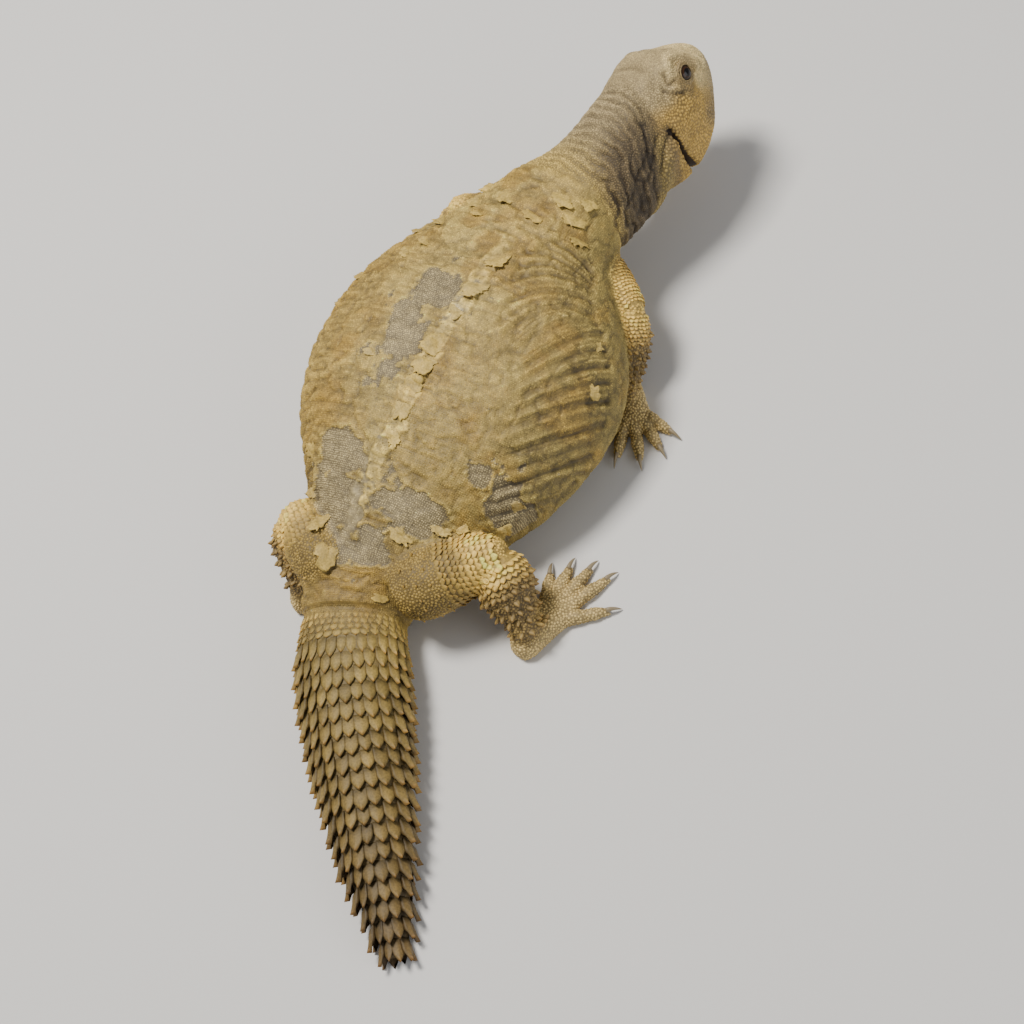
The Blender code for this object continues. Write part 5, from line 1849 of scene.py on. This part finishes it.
def make_claws():
    points, faces = [], []
    n, rings = 12, 9
    for key in LIMBS:
        toes, _, _ = foot_toes(key)
        for root, way, across, length, half in toes:
            start = root + way * (length * 0.93) + np.array((0, 0, 0.0036))
            base = len(points)
            for r in range(rings):
                t = r / (rings - 1)
                centre = start + way * CLAW * t + np.array((0, 0, 0.0008 * math.sin(math.pi * t) - 0.0028 * t * t))
                thick = max(0.0017 * (1 - t) ** 0.6, 0.00010)
                for k in range(n):
                    a = 2 * math.pi * k / n
                    p = centre + across * thick * 0.8 * math.cos(a) + np.array((0, 0, thick * math.sin(a)))
                    p[2] = max(p[2], 0.0001)
                    points.append(p)
            faces += tube_faces(rings, n, base)
    return mesh_object("claws", np.array(points), faces)


# ---- The studio
VIEW_BACK = np.array((0.3971, -0.3420, 0.8517))
VIEW_RIGHT = np.array((0.8682, 0.4414, -0.2276))
VIEW_UP = np.array((-0.2981, 0.8296, 0.4721))
VIEW_DISTANCE = 0.95
PIXEL = 0.00055  # metres a pixel of a 1024 px image spans at the body
LOOK_AT = np.array((PLAN_START[0], PLAN_START[1], 0.039))
LOOK_PIXEL = (450, 400)


def plain_material(name, colour, roughness):
    material = bpy.data.materials.new(name)
    material.use_nodes = True
    shader = material.node_tree.nodes["Principled BSDF"]
    shader.inputs["Base Color"].default_value = (*colour, 1)
    shader.inputs["Roughness"].default_value = roughness
    return material


DARTS = {"head_scales": 200000, "limb_scales": 90000, "foot_scales": 60000}


def head_spacing(at, vertices):
    """Spacing of the scales of the head and neck: large on the cheeks, fine elsewhere."""
    local = at["head"][vertices]
    cheek = step(0.010, 0.024, local[:, 1]) * step(0.006, -0.006, local[:, 2])
    return 0.00100 + 0.00062 * cheek * at["soft"][vertices, HEADED]


def outside_mouth(at, vertices):
    return mouth_share(at)[vertices] < 0.6


def make_floor():
    floor = mesh_object("floor", [(-4, -4, 0), (4, -4, 0), (4, 4, 0), (-4, 4, 0)], [(0, 1, 2, 3)])
    floor.data.materials.append(plain_material("pale_floor", (0.72, 0.71, 0.69), 0.9))


def make_camera():
    camera = bpy.data.cameras.new("camera")
    camera.sensor_width = 36
    camera.lens = 18 * VIEW_DISTANCE / (512 * PIXEL)
    camera.clip_start = 0.01
    place = LOOK_AT + VIEW_BACK * VIEW_DISTANCE
    place = place - VIEW_RIGHT * (LOOK_PIXEL[0] - 512) * PIXEL + VIEW_UP * (LOOK_PIXEL[1] - 512) * PIXEL
    obj = bpy.data.objects.new("camera", camera)
    axes = Matrix((VIEW_RIGHT, VIEW_UP, VIEW_BACK)).transposed().to_4x4()
    axes.translation = Vector(place)
    obj.matrix_world = axes
    bpy.context.scene.collection.objects.link(obj)
    bpy.context.scene.camera = obj


def make_light(name, right, up, back, size, power, colour):
    """A square soft light, placed by the camera's axes, aimed at the body."""
    light = bpy.data.lights.new(name, "AREA")
    light.shape, light.size, light.energy, light.color = "SQUARE", size, power, colour
    place = Vector(LOOK_AT + VIEW_RIGHT * right + VIEW_UP * up + VIEW_BACK * back)
    place.z = max(place.z, 0.35)
    obj = bpy.data.objects.new(name, light)
    obj.matrix_world = (Vector(LOOK_AT) - place).to_track_quat("-Z", "Y").to_matrix().to_4x4()
    obj.matrix_world.translation = place
    bpy.context.scene.collection.objects.link(obj)


def make_world():
    world = bpy.data.worlds.new("studio")
    world.use_nodes = True
    shade = world.node_tree.nodes["Background"]
    shade.inputs["Color"].default_value = (0.93, 0.95, 1.0, 1)
    shade.inputs["Strength"].default_value = 0.28
    bpy.context.scene.world = world


def dress():
    rng = np.random.default_rng(SEED)
    skin, at = make_skin()
    hide = Hide(skin, at)
    material = hide_material("hide", 0.0003)
    skin.data.materials.append(material)
    coat = trunk_scales(hide, rng)
    coat += tail_scales(hide, rng)
    coat += granules("head_scales", hide, [NECKED, HEADED], head_spacing, dome(2), 0.42, rng, 0.70, outside_mouth)
    limbs = list(range(LIMBED, FOOTED))
    coat += granules("limb_scales", hide, limbs, 0.00135, dome(2), 0.42, rng, 0.66, between_shields)
    coat += shields(hide, rng) + spikes(hide, rng)
    coat += make_flakes(hide)
    feet = list(range(FOOTED, FOOTED + 4))
    coat += granules("foot_scales", hide, feet, 0.0013, dome(2), 0.45, rng)
    for piece in coat:
        piece.data.materials.append(material)
        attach(piece, "root")
    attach(skin, "root")
    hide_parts(*FLESH)
    gloss = eye_material()
    for side, name in ((1, "right"), (-1, "left")):
        place = eye_frame(side, hide)
        eye = make_eye("eyeball_" + name, place)
        eye.data.materials.append(gloss)
        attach(eye, "root")
        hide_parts("eye_" + name)
        rim = lid_ring("lid_" + name, place, 0.0044, 0.0040, 0.0048, 0.0004, SEED + side)[0]
        fold, grid, ways = lid_ring("lid_fold_" + name, place, 0.0034, 0.0053, 0.0061, 0.0011, SEED + 5 + side)
        for piece in [rim, fold] + lid_beads("lid_beads_" + name, grid, ways, rng):
            piece.data.materials.append(material)
            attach(piece, "root")
    claws = make_claws()
    claws.data.materials.append(plain_material("claw_horn", paint("8c7d60"), 0.45))
    claws.data.shade_smooth()
    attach(claws, "root")


make_floor()
make_camera()
make_world()
make_light("key", -0.9, 1.0, 1.2, 0.5, 44, (1.0, 0.96, 0.90))
make_light("fill", 1.2, -0.2, 1.0, 1.2, 9, (0.95, 0.97, 1.0))
dress()
